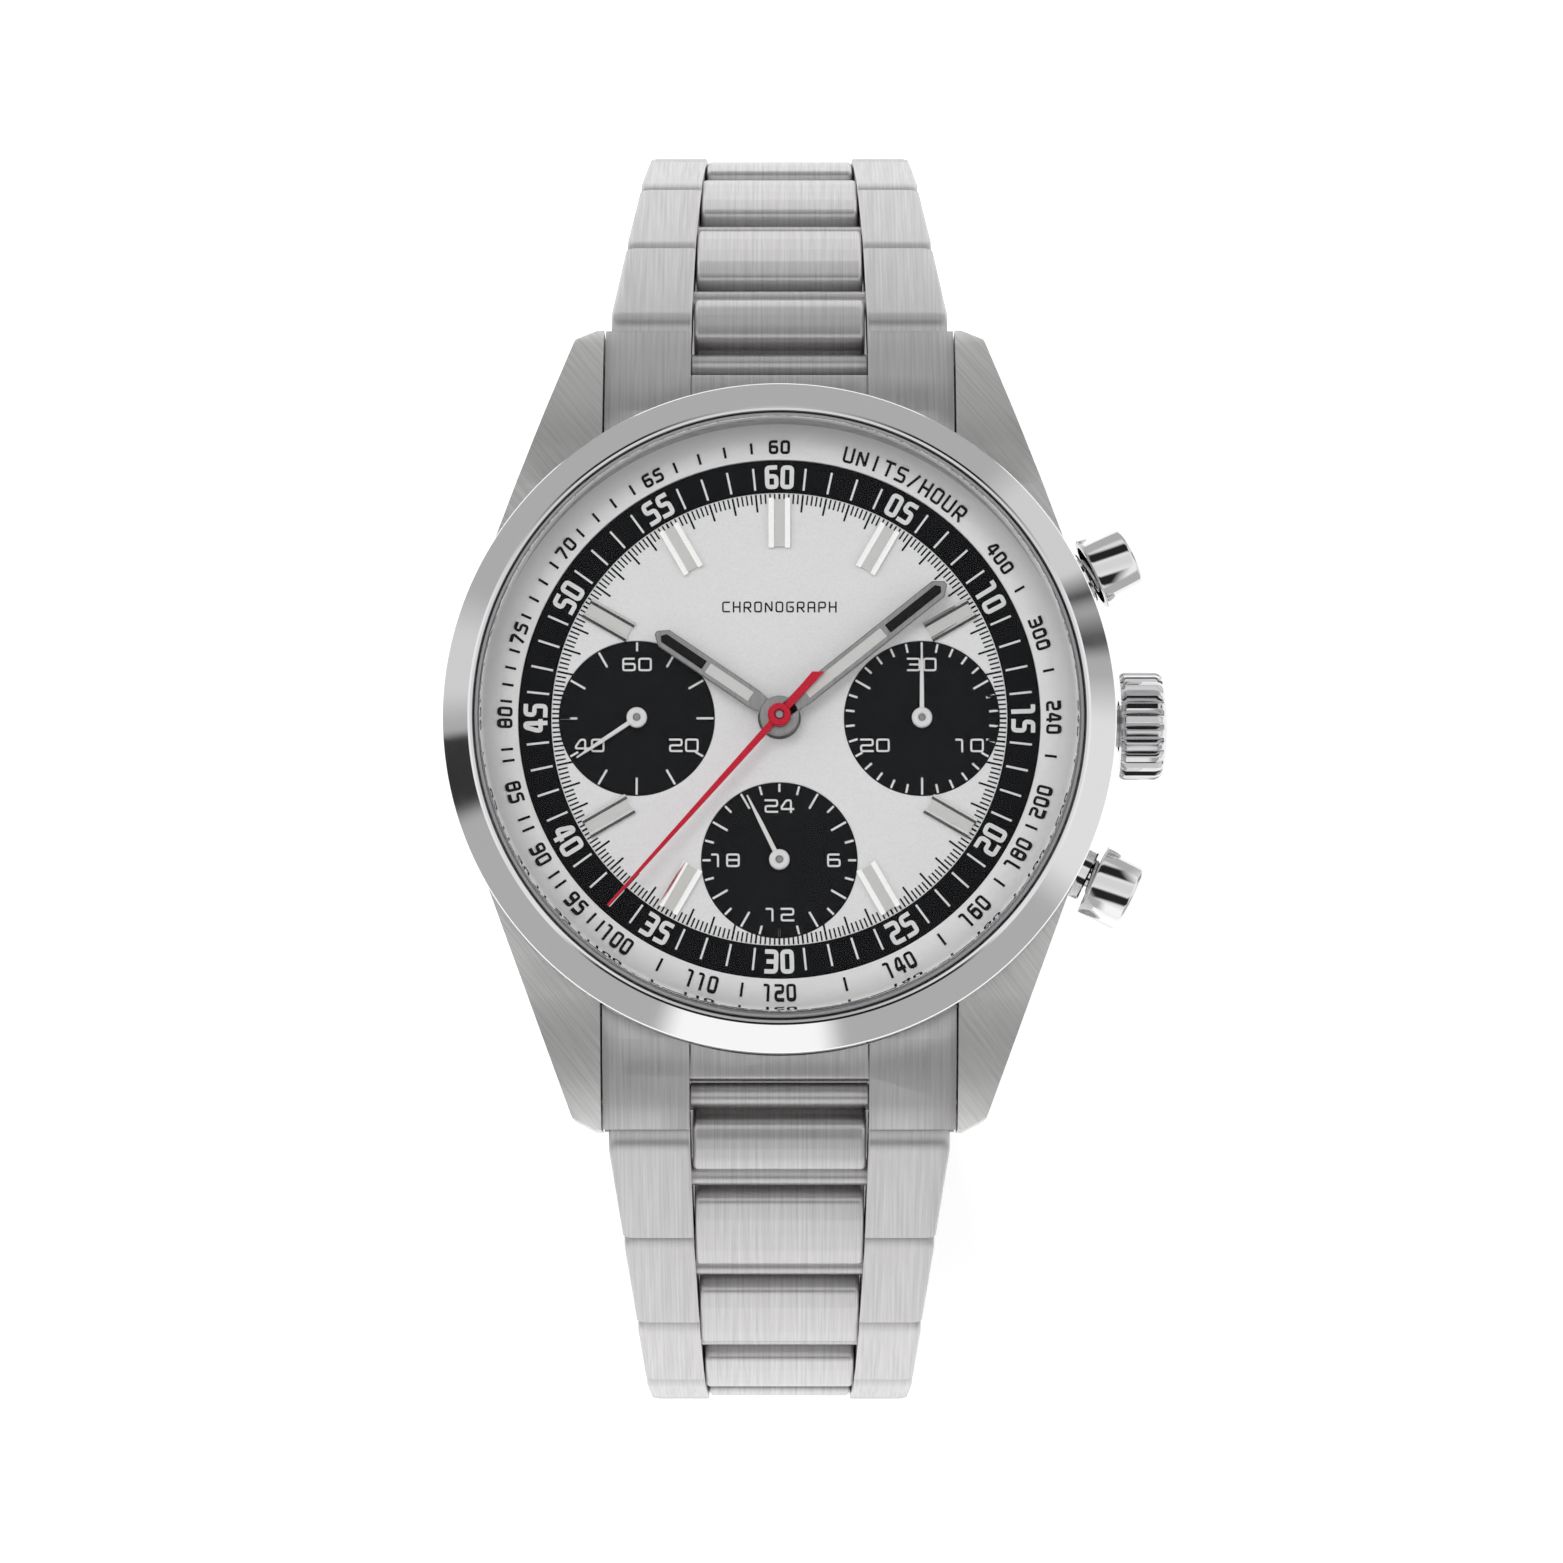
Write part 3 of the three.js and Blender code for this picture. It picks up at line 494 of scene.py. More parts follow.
def stroke_path(points, width, height, stroke):
    """A stroke's middle line in millimetres, its corners rounded."""
    spots = [Vector(((x - 0.5) * (width - stroke), (y - 0.5) * (height - stroke))) for x, y in points]
    closed = points[0] == points[-1]
    if closed:
        spots = spots[:-1]
    path = []
    for i, here in enumerate(spots):
        if not closed and i in (0, len(spots) - 1):
            path.append(here)
            continue
        before = spots[i - 1] - here
        after = spots[(i + 1) % len(spots)] - here
        reach = min(0.4 * stroke + 0.06, 0.45 * before.length, 0.45 * after.length)
        first = here + before.normalized() * reach
        last = here + after.normalized() * reach
        path += corner_curve(first, here, last, 3)
    return path, closed


def meets(point, letter):
    """Whether a stroke's end runs into the side of a stroke, so that it needs no cap of its own."""
    here = Vector(point)
    for points in STROKES[letter]:
        for a, b in zip(points, points[1:]):
            start, run = Vector(a), Vector(b) - Vector(a)
            t = (here - start).dot(run) / run.length_squared
            if 0.02 < t < 0.98 and (start + t * run - here).length < 0.02:
                return True
    return False


def draw_glyph(build, letter, width, height, stroke, place, thick):
    """Adds a letter, each stroke as a row of short blocks that place(x, y, lift) sets on the surface."""
    for points in STROKES[letter]:
        path, closed = stroke_path(points, width, height, stroke)
        open_start = not closed and not meets(points[0], letter)
        open_end = not closed and not meets(points[-1], letter)
        count = len(path)
        sides = []
        for i, here in enumerate(path):
            before = path[i - 1] if closed or i else here
            after = path[(i + 1) % count] if closed or i < count - 1 else here
            run = (after - before).normalized()
            normal = Vector((-run.y, run.x)) * stroke / 2
            end = Vector((0.0, 0.0))
            if open_start and i == 0:
                end = -run * stroke / 2
            if open_end and i == count - 1:
                end = run * stroke / 2
            sides.append((here + normal + end, here - normal + end))
        for i in range(count if closed else count - 1):
            left, right = sides[i]
            next_left, next_right = sides[(i + 1) % count]
            quad = [left, right, next_right, next_left]
            low = [place(p.x, p.y, -PRINT_SUNK) for p in quad]
            high = [place(p.x, p.y, thick + PRINT_STEP * i) for p in quad]
            build.add(loft([low, high]))


def arc_place(radius, angle, outward, surface):
    """Maps a flat glyph onto the dial at a radius and angle. surface(radius) gives the height there."""
    c, s = math.cos(math.radians(angle)), math.sin(math.radians(angle))
    way = 1.0 if outward else -1.0

    def place(u, v, lift):
        along, out = way * u, radius + way * v
        x, y = out * s + along * c, out * c - along * s
        return x, y, surface(math.hypot(x, y)) + lift

    return place


def arc_text(build, text, radius, angle, size, outward, surface, thick=PRINT):
    """Letters set round the dial, each turned to its own place. size is width, height, stroke, advance."""
    width, height, stroke, advance = size
    way = 1.0 if outward else -1.0
    for i, letter in enumerate(text):
        shift = way * (i - (len(text) - 1) / 2) * advance / radius
        place = arc_place(radius, angle + math.degrees(shift), outward, surface)
        draw_glyph(build, letter, width, height, stroke, place, thick)


def flat_text(build, text, centre, size, z, thick=PRINT):
    """Letters in a straight row about a centre. size is width, height, stroke, advance."""
    width, height, stroke, advance = size
    for i, letter in enumerate(text):
        x = centre[0] + (i - (len(text) - 1) / 2) * advance

        def place(u, v, lift, x=x):
            return x + u, centre[1] + v, z + lift

        draw_glyph(build, letter, width, height, stroke, place, thick)


def tick(build, angle, inner, outer, width, surface, centre=(0.0, 0.0), thick=PRINT):
    """A printed line along the radius."""
    quad = [(-width / 2, inner), (width / 2, inner), (width / 2, outer), (-width / 2, outer)]
    turn = clockwise(angle, centre)
    low = [turn((x, y, surface(y))) for x, y in quad]
    high = [turn((x, y, surface(y) + thick)) for x, y in quad]
    build.add(loft([low, high]))


# Case


def prism_x(outline, half):
    """A side view outline in [y, z], drawn out along X."""
    return loft([[(-half, y, z) for y, z in outline], [(half, y, z) for y, z in outline]])


def temporary(shape):
    """An object for the booleans to work on, which carve() removes."""
    build = Build().add(shape)
    mesh = bpy.data.meshes.new("tool")
    mesh.from_pydata([Vector(v) * MM for v in build.verts], [], build.faces)
    finish_mesh(mesh, 35.0)
    made = bpy.data.objects.new("tool", mesh)
    bpy.context.scene.collection.objects.link(made)
    return made


def carve(name, shape, tools, materials, body, slot, node, angle=35.0, bevel=None, matrix=None):
    """Makes a piece from a shape by booleans, given as (operation, shape) pairs.

    bevel gives the width, segments and least angle of rounded edges, which take the second material.
    """
    target = temporary(shape)
    cutters = []
    for operation, tool in tools:
        cutters.append(temporary(tool))
        modifier = target.modifiers.new("cut", "BOOLEAN")
        modifier.operation = operation
        modifier.object = cutters[-1]
        modifier.solver = "EXACT"
    if bevel:
        for material in materials:
            target.data.materials.append(material)
        modifier = target.modifiers.new("edges", "BEVEL")
        modifier.width = bevel[0] * MM
        modifier.segments = bevel[1]
        modifier.limit_method = "ANGLE"
        modifier.angle_limit = math.radians(bevel[2])
        modifier.material = 1
    evaluated = target.evaluated_get(bpy.context.evaluated_depsgraph_get())
    mesh = bpy.data.meshes.new_from_object(evaluated)
    for thing in [target, *cutters]:
        bpy.data.objects.remove(thing)
    mesh.materials.clear()
    finish_mesh(mesh, angle)
    adopt(name, mesh, materials, body, slot, [node], matrix)


def rod_x(radius, start, end, y, z, segments=32):
    return along_x(turned(solid(radius, start, end), segments), 1, y, z)


def radial_axis(angle):
    """Turns +Z to the radius at an angle from +X, at the stem's height."""
    return (
        Matrix.Translation((0, 0, STEM_Z * MM))
        @ Matrix.Rotation(math.radians(angle), 4, "Z")
        @ Matrix.Rotation(math.pi / 2, 4, "Y")
    )


def radial_rod(radius, low, high, angle):
    verts, faces = turned(solid(radius, low, high), 32)
    axis = radial_axis(angle)
    return [tuple((axis @ (Vector(v) * MM)) / MM) for v in verts], faces


def build_mid_case():
    """The middle with its four lugs, cut out for the movement, the stem, the pushers and the spring bars."""
    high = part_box("mid_case")[1]
    tip = high.y / MM
    half_gap = 10.12
    barrel_low, barrel_high = 2.1, 8.78
    corners = [(9.0, tip), (10.5, tip), (11.75, tip - 0.65)]
    corners += [(14.2, 15.6), (16.15, 10.3), (17.9, 5.5), (18.6, 2.0)]
    outline = []
    for sx, sy in ((1, 1), (1, -1), (-1, -1), (-1, 1)):
        quarter = [(sx * x, sy * y) for x, y in corners]
        outline += quarter if sx * sy > 0 else quarter[::-1]
    top = [(tip, 4.9), (tip - 0.9, 5.85), (20.0, 6.85), (18.0, 7.7), (16.0, 8.3), (13.5, 8.75)]
    under = [(13.5, barrel_low), (19.0, 1.55), (tip, 0.95)]
    side = top + [(-y, z) for y, z in reversed(top)] + [(-y, z) for y, z in reversed(under)] + under
    movement_room = [(0, 0), (16.0, 0), (16.0, 7.6), (17.15, 7.6), (17.15, 12), (0, 12)]
    tools = [
        ("INTERSECT", prism_x(side, 30.0)),
        ("DIFFERENCE", block((-half_gap, -30.0, -5.0), (half_gap, 30.0, 20.0))),
        ("UNION", turned(solid(high.x / MM, barrel_low, barrel_high), 192)),
        ("DIFFERENCE", turned(movement_room, 128)),
        ("DIFFERENCE", radial_rod(1.3, 14.0, 24.0, 0.0)),
    ]
    for angle in PUSHERS.values():
        for radius, start in ((1.62, 14.0), (2.35, 18.86)):  # the tube's bore, then room for the cap
            tools.append(("DIFFERENCE", radial_rod(radius, start, 24.0, angle)))
    for start, end in ((9.0, 11.4), (-11.4, -9.0)):
        for way in (1, -1):
            bore = rod_x(SPRING_BAR_BORE, start, end, way * SPRING_BAR_Y, SPRING_BAR_Z)
            tools.append(("DIFFERENCE", bore))
    carve("case_middle", slab(outline, 0.0, 12.0), tools, [steel_lugs, steel_edge], "case", "brushed_steel",
          "mid_case", 40.0, (0.32, 3, 28.0))


def build_bezel():
    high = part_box("bezel")[1]
    outer, top = high.x / MM, high.z / MM
    bore, foot = 17.2, 8.9
    slope = [(outer, 8.95), (outer, 10.05), (outer - 0.06, 10.15), (17.6, top - 0.12), (17.5, top - 0.04)]
    lip = [(17.38, top), (bore + 0.05, top - 0.02), (bore, top - 0.1)]
    ring = turned([(bore, foot), (outer - 0.08, foot), *slope, *lip], 256)
    piece("bezel_polished", ring, steel_bright, "case", "polished_steel", ["bezel"], angle=12.0)


def build_crystal():
    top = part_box("crystal")[1].z / MM
    foot, edge_r, shoulder, rise = 10.9, 16.8, 16.5, 12.3
    edge = [(edge_r, foot), (edge_r, 12.05), (16.72, 12.18), (shoulder, rise)]
    steps = [1 - k / 16 for k in range(1, 17)]
    dome = [(shoulder * step, rise + (top - rise) * (1 - step ** 2)) for step in steps]
    domed = turned([(0, foot), *edge, *dome], 192)
    piece("crystal_dome", domed, glass, "case", "sapphire_glass", ["crystal"])
    gasket = [(16.88, 10.2), (17.1, 10.2), (17.1, 11.3), (17.05, 11.4), (16.93, 11.4), (16.88, 11.3)]
    piece("crystal_seal", turned(gasket, 160), seal, "case", "gasket_rubber", ["crystal_gasket"])


def build_case_back():
    back = [(12.9, 0), (16.5, 0), (16.9, 0.3), (17.0, 0.6), (17.0, 1.5), (15.6, 1.5), (15.6, 2.8)]
    back += [(14.0, 2.8), (14.0, 1.7), (12.2, 1.7), (12.2, 1.2), (12.9, 1.2), (12.9, 0.15)]

    def notched(angle, radius, z):
        """Six flats round the rim take the case opener."""
        turn = abs((angle / (math.pi / 3)) % 1.0 - 0.5) * 2
        return radius - 0.45 if radius > 16.4 and z < 0.7 and turn < 0.14 else radius

    ring = turned(back, 360, shape=notched)
    piece("case_back_ring", ring, steel_plain, "case", "brushed_steel", ["case_back"])
    window = turned([(0, 0), (12.5, 0), (12.7, 0.15), (12.7, 1.0), (0, 1.0)], 128)
    piece("case_back_window", window, glass, "case", "sapphire_glass", ["case_back_glass"])


# Dial


def scale_height(radius):
    """Height of the sloped scale ring's white face."""
    share = (min(max(radius, SCALE_IN), SCALE_OUT) - SCALE_IN) / (SCALE_OUT - SCALE_IN)
    return SCALE_LOW + (SCALE_HIGH - SCALE_LOW) * share + 0.005


def build_scale_ring():
    """The white sloped scale, in a steel wall that rises to the crystal."""
    foot, wall_top = 8.5, 10.08
    rim, corner = (WALL_R, SCALE_HIGH), (SCALE_OUT, SCALE_HIGH)
    face = [(SCALE_IN, foot), (WALL_R, foot), rim, corner, (SCALE_IN, SCALE_LOW)]
    wall = [corner, rim, (WALL_R, wall_top), (16.7, wall_top), (16.5, 9.8)]
    build = Build().add(turned(face, 192)).add(turned(wall, 192), slot=1)
    paints = [ring_white, steel_plain]
    piece("scale_ring", build, paints, "case", "white_ring", ["tachymeter_ring"], angle=20.0)

    def turn_of(rate):
        """The angle whose time, on a one minute turn, gives this many units an hour."""
        return 360.0 * 60.0 / rate

    marks = Build()
    size = (0.54, 0.76, 0.15, 0.66)
    for value in (60, 65, 70, 75, 80, 85, 90, 95, 100, 110, 120, 140, 160, 180, 200, 240, 300, 400):
        outward = value <= 80 or value >= 240
        arc_text(marks, str(value), NUMERAL_R, turn_of(value), size, outward, scale_height, FINE_PRINT)
    singles = [value for value in range(61, 80) if value % 5]
    angles = [turn_of(value) for value in singles + [105, 115, 130, 150, 170, 190, 220, 270, 350]]
    for start in (80, 85, 90, 95):
        middle = (turn_of(start) + turn_of(start + 5)) / 2
        angles += [middle - 1.2, middle + 1.2]
    for angle in angles:
        tick(marks, angle, NUMERAL_R - 0.32, NUMERAL_R + 0.28, 0.14, scale_height, thick=FINE_PRINT)
    title = (0.6, 0.88, 0.14, 0.79)
    arc_text(marks, "UNITS/HOUR", NUMERAL_R + 0.04, 28.0, title, True, scale_height, FINE_PRINT)
    piece("scale_print", marks, print_black, "case", "gasket_rubber", angle=20.0)


def build_seconds_ring():
    low, high = DIAL_TOP - 0.05, DIAL_TOP + 0.06
    ring = turned([(RING_IN, low), (RING_OUT, low), (RING_OUT, high), (RING_IN, high)], 192)
    piece("seconds_ring", ring, ring_black, "case", "gasket_rubber")
    marks = Build()
    for second in range(60):
        angle = second * 6.0
        if second % 5:
            tick(marks, angle, 13.0, 14.25, 0.12, level(high))
            continue
        label = f"{second or 60:02d}"
        outward = not 20 <= second <= 40
        arc_text(marks, label, 13.7, angle, (0.76, 1.36, 0.25, 0.88), outward, level(high))
    piece("seconds_print", marks, print_white, "case", "white_ring", angle=20.0)


def build_dial():
    foot, past = 8.0, 11.0
    tools = []
    for centre in CENTRES.values():
        tools.append(("DIFFERENCE", turned(solid(SUBDIAL_R, DIAL_TOP - 0.1, 10.0), 128, centre)))
        tools.append(("DIFFERENCE", turned(solid(0.4, foot - 1.0, past), 24, centre)))
    tools.append(("DIFFERENCE", turned(solid(1.2, foot - 1.0, past), 48)))
    plate = turned(solid(DIAL_R, foot, DIAL_TOP), 192)
    carve("dial_plate", plate, tools, [silver], "case", "silver_dial", "dial", 30.0)

    track = Build()
    for step in range(300):
        inner, width = (12.2, 0.09) if step % 5 else (11.75, 0.11)
        tick(track, step * 1.2, inner, 12.75, width, level(DIAL_TOP), thick=DIAL_PRINT)
    flat_text(track, "CHRONOGRAPH", (0.0, 6.3), (0.44, 0.62, 0.085, 0.6), DIAL_TOP, DIAL_PRINT)
    piece("dial_print", track, print_black, "case", "gasket_rubber", angle=20.0)


def build_markers():
    """Each hour has two roofed bars with a luminous strip between them."""
    low = DIAL_TOP - 0.02
    eave, ridge = DIAL_TOP + 0.22, DIAL_TOP + 0.29
    bar_half, bar_at, strip_half = 0.15, 0.46, 0.325
    bars = Build()
    strips = Build()
    for hour in MARKER_HOURS:
        turn = clockwise(hour * 30.0)
        for x in (-bar_at, bar_at):
            left, right = x - bar_half, x + bar_half
            roof = [(left, low), (right, low), (right, eave), (x, ridge), (left, eave)]
            bars.add(loft([[(u, y, z) for u, z in roof] for y in (9.65, 12.5)]), place=turn)
        strip = block((-strip_half, 9.72, low), (strip_half, 12.43, DIAL_TOP + 0.2))
        strips.add(strip, place=turn)
    piece("hour_markers", bars, marker_steel, "case", "polished_steel", angle=15.0)
    piece("hour_marker_lume", strips, lume, "case", "white_lacquer", angle=25.0)


def grooved():
    """A sub-dial's black disc, cut with fine concentric grooves."""
    base = DIAL_TOP - 0.075
    foot = base - 0.03
    grooves = 22
    profile = [(0, foot), (4.38, foot), (4.38, base)]
    for k in range(grooves):
        radius = 4.3 - k * (3.7 / grooves)
        profile += [(radius, base), (radius - 0.084, base - 0.01)]
    return turned(profile + [(0.5, base), (0, base)], 144)


def build_subdials():
    """Each sub-dial's layout gives its ticks, which of them are long, a numbered tick's length and labels."""
    surface = DIAL_TOP - 0.07
    size = (0.76, 0.76, 0.11, 0.9)
    rim = 4.3
    layouts = {
        "left": (12, 1, 0.5, {0: "60", 4: "20", 8: "40"}),
        "right": (30, 5, 0.45, {0: "30", 10: "10", 20: "20"}),
        "low": (24, 2, 0.45, {0: "24", 6: "6", 12: "12", 18: "18"}),
    }
    for name, (count, long_every, numbered, labels) in layouts.items():
        centre = CENTRES[name]
        place = Matrix.Translation((centre[0] * MM, centre[1] * MM, 0))
        piece(f"subdial_{name}", grooved(), groove_black, "case", "gasket_rubber", angle=60.0, matrix=place)
        marks = Build()
        for k in range(count):
            length = 0.5 if k % long_every else 0.95
            if k in labels:
                length = numbered
            tick(marks, k * 360.0 / count, rim - length, rim, 0.12, level(surface), centre)
        for k, label in labels.items():
            x, y = polar(k * 360.0 / count, 3.05)
            flat_text(marks, label, (centre[0] + x, centre[1] + y), size, surface)
        piece(f"subdial_{name}_print", marks, print_white, "case", "white_ring", angle=20.0)


# Hands


HAND_THICK = 0.2
INLAYS = {"white": (lume, "white_lacquer"), "black": (print_black, "gasket_rubber")}


def baton(length):
    """A hand's outline at 12 o'clock: narrow neck, parallel body and blunt point."""
    half, neck, shoulder = 0.56, 0.46, 1.75
    right = [(neck, 0.3), (neck + 0.02, shoulder - 0.55), (half, shoulder)]
    right += [(half, length - 0.55), (0.12, length)]
    return right + [(-x, y) for x, y in reversed(right)]


def central_hand(name, node, length, inlays, angle):
    """A baton hand, with an inlay of each colour between two distances from the hub."""
    turn = clockwise(angle)
    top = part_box(node)[1].z / MM
    z = top - HAND_THICK
    hand = Build().add(slab(rounded(baton(length), 0.05, 2), z, top, 0.05), place=turn)
    hand.add(turned([(0.66, z), (1.12, z), (1.12, top - 0.04), (1.08, top), (0.66, top)], 64))
    piece(name, hand, hand_steel, node, "hand_steel", [node], angle=25.0)
    for colour, (start, end) in inlays.items():
        if colour == "black":
            corners = [(-0.27, start), (0.27, start), (0.27, end - 0.2), (0, end), (-0.27, end - 0.2)]
        else:
            corners = [(-0.3, start), (0.3, start), (0.3, end), (-0.3, end)]
        inlay = Build().add(slab(rounded(corners, 0.03, 2), top - 0.06, top + 0.03), place=turn)
        material, slot = INLAYS[colour]
        piece(f"{name}_{colour}_inlay", inlay, material, node, slot, angle=25.0)


def build_chrono_hand():
    """The red needle, its hub with a dished middle, and the staff that shows through it."""
    node = "chrono_seconds_hand"
    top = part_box(node)[1].z / MM
    z = top - 0.45
    needle = [(0.25, -3.05), (0.2, 0.0), (0.075, 14.35), (-0.075, 14.35), (-0.2, 0.0), (-0.25, -3.5)]
    hub = [(0, z), (0.65, z), (0.65, top - 0.08), (0.58, top), (0.3, top), (0.28, top - 0.1), (0, top - 0.1)]
    red = Build().add(slab(needle, z, z + 0.18, 0.03), place=clockwise(CHRONO_ANGLE)).add(turned(hub, 48))
    piece("chrono_needle", red, red_paint, node, "red_lacquer", [node], angle=30.0)
    staff = [(0, 7.2), (0.26, 7.2), (0.26, top - 0.08), (0.2, top - 0.02), (0, top)]
    piece("chrono_staff", turned(staff, 32), hand_steel, node, "hand_steel", angle=30.0)


def build_small_hands():
    for node, place, angle in (
        ("running_seconds_hand", "left", 236.3),
        ("minute_counter_hand", "right", 0.0),
        ("hour24_hand", "low", 333.5),
    ):
        centre = CENTRES[place]
        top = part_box(node)[1].z / MM
        z = top - 0.35
        right = [(0.13, 0.0), (0.11, 2.4), (0.045, 4.05)]
        needle = right + [(-x, y) for x, y in reversed(right)]
        crest, dish = top - 0.03, top - 0.1
        hub = [(0, z), (0.57, z), (0.57, dish), (0.5, crest), (0.24, crest), (0.22, dish), (0, dish)]
        hand = Build().add(slab(needle, z, z + 0.14, 0.025), place=clockwise(angle, centre))
        hand.add(turned(hub, 48, centre))
        piece(f"{node}_blade", hand, white_paint, node, "white_lacquer", [node], angle=30.0)
        staff = [(0, 7.2), (0.2, 7.2), (0.2, top - 0.06), (0.15, top - 0.01), (0, top)]
        piece(f"{node}_staff", turned(staff, 24, centre), hand_steel, node, "hand_steel", angle=30.0)


# Crown and pushers


def build_crown():
    """A fluted crown with a stepped face and a bore for its stem."""
    inner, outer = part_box("crown")[0].x / MM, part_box("crown")[1].x / MM
    flutes = 24
    depth = 0.3

    def fluted(angle, radius, z):
        if radius < 2.95:
            return radius
        turn = (angle * flutes / (2 * math.pi)) % 1.0
        return radius - depth * max(0.0, 1.0 - abs(turn - 0.5) / 0.3)

    bore = [(0, 21.3), (0.7, 21.3), (0.7, 20.7), (1.45, 20.7)]
    rim = [(1.45, inner), (2.85, inner), (3.02, inner + 0.12), (3.1, inner + 0.32), (3.1, 21.4)]
    face = [(3.02, 21.68), (2.85, 21.82), (2.6, 21.9), (2.45, 21.88), (2.3, 21.95), (1.6, 22.12)]
    crest = [(0.8, outer - 0.02), (0, outer)]
    knob = turned(bore + rim + face + crest, 384, shape=fluted)
    matrix = radial_axis(0.0)
    piece("crown_fluted", knob, steel_crown, "crown", "polished_steel", ["crown"], matrix=matrix)


def build_pushers():
    stem = [(0, 15.2), (0.65, 15.2), (0.65, 21.3), (1.75, 21.3), (1.75, 19.9)]
    cap = [(2.05, 19.9), (2.13, 19.98), (2.15, 20.1), (2.15, 22.15), (2.1, 22.3), (1.98, 22.42)]
    face = [(1.2, 22.62), (0.5, 22.72), (0, 22.74)]
    sleeve = [(0.8, 16.3), (1.55, 16.3), (1.55, 19.5), (1.47, 19.6), (1.3, 19.6), (1.3, 18.2), (0.8, 18.2)]
    for side, angle in PUSHERS.items():
        node = f"{side}_pusher"
        matrix = radial_axis(angle)
        button = turned(stem + cap + face, 128)
        piece(f"{node}_cap", button, steel_bright, node, "polished_steel", [node], matrix=matrix)
        tube = turned(sleeve, 96)
        piece(f"{node}_sleeve", tube, steel_bright, "case", "polished_steel", [f"{node}_tube"], matrix=matrix)


# Bracelet


def soft_bar(profile, x0, x1, r0, r1, widths=None):
    """A side view profile in [along, out] swept across X, with its edges at each end rounded over.

    widths(along, x) may move an end of the piece, so that it tapers.
    """
    middle = (min(p[0] for p in profile) + max(p[0] for p in profile)) / 2
    length = (max(p[0] for p in profile) - min(p[0] for p in profile)) / 2
    height = max(abs(p[1]) for p in profile)
    turns = [k / 5 * math.pi / 2 for k in range(6)]
    stations = [(x0 + r0 * (1 - math.cos(turn)), r0 * (1 - math.sin(turn))) for turn in turns]
    stations += [(x1 - r1 * (1 - math.cos(turn)), r1 * (1 - math.sin(turn))) for turn in reversed(turns)]
    loops = []
    for x, cut_back in stations:
        loop = []
        for along, out in profile:
            s = middle + (along - middle) * (1 - cut_back / length)
            n = out * (1 - cut_back / height)
            loop.append((widths(s, x) if widths else x, s, n))
        loops.append(loop)
    return loft(loops)


def arc(centre, radius, start, end, steps):
    """Points round part of a circle in a side view, with its angles in radians."""
    turns = [start + (end - start) * k / steps for k in range(steps + 1)]
    return [(centre[0] + radius * math.cos(turn), centre[1] + radius * math.sin(turn)) for turn in turns]


def outer_profile(pitch, last):
    """An outer piece from the side: round at its near hinge, and hollowed round the far one or square."""
    near_end = arc((0.0, 0.0), HALF_THICK, math.pi / 2, 1.5 * math.pi, 12)
    if last:
        end, shoulder, chamfer = pitch - 0.2, pitch - 0.35, HALF_THICK - 0.3
        return near_end + [(shoulder, -HALF_THICK), (end, -chamfer), (end, chamfer), (shoulder, HALF_THICK)]
    hollow = HALF_THICK + HINGE_PLAY
    lip = math.asin(0.97 * HALF_THICK / hollow)
    return near_end + arc((pitch, 0.0), hollow, math.pi + lip, math.pi - lip, 12)


def bar_oval(centre, half):
    """A link's recessed bar from the side, 16 points round an upright oval."""
    turns = [k * math.pi / 8 for k in range(16)]
    return [(centre[0] + half * math.cos(turn), centre[1] + BAR_RISE * math.sin(turn)) for turn in turns]


def crowned_profile(length, base, top, crown):
    """A centre piece from the side: flat inside, arched outside, with round ends."""
    half = length / 2
    corners = [(-half, base, 0.4), (half, base, 0.4), (half, top - 0.1, 0.55)]
    corners += [(half * 0.45, top + crown * 0.8), (0, top + crown), (-half * 0.45, top + crown * 0.8)]
    corners += [(-half, top - 0.1, 0.55)]
    return rounded(corners, 2.0, 5)


def hinge_point(side, index):
    """Joint index of a strand (1 to 8), or the strand's end for 9, as (y, z) on the 12 o'clock side."""
    name = f"{side}_hinge_{index}" if index <= LINK_COUNT else "clasp_blade_hinge"
    pos = JOINTS[name]["pos_m"]
    return Vector((abs(pos[1]) / MM, pos[2] / MM))


def mirrored(side):
    """The lower strand is the upper one turned half round."""
    return Matrix.Rotation(math.pi, 4, "Z") if side == "lower" else Matrix.Identity(4)


def strand_matrix(side, point, slope):
    """The frame of a piece on a strand: Y along the strand, Z outwards."""
    place = Matrix.Translation((0, point.x * MM, point.y * MM))
    return mirrored(side) @ place @ Matrix.Rotation(-slope, 4, "X")


def slope_of(first, last):
    run = last - first
    return math.atan2(-run.y, run.x)


def centre_piece(side, index, body, first, last, half_width, dip):
    """A centre piece lying on the chord between two points of the strand."""
    middle = (first + last) / 2
    length = (last - first).length
    profile = crowned_profile(length, -HALF_THICK + 0.25, HALF_THICK - 0.12 + dip, 0.16)
    bar = soft_bar(profile, -half_width, half_width, 0.28, 0.28)
    matrix = strand_matrix(side, middle, slope_of(first, last))
    piece(f"{side}_centre_{index}", bar, steel_links, body, "brushed_steel", matrix=matrix)


# A centre piece reaches from just past one recessed bar to just short of the next
CENTRE_START = BAR_AT + 0.9
CENTRE_END = BAR_AT - 0.92


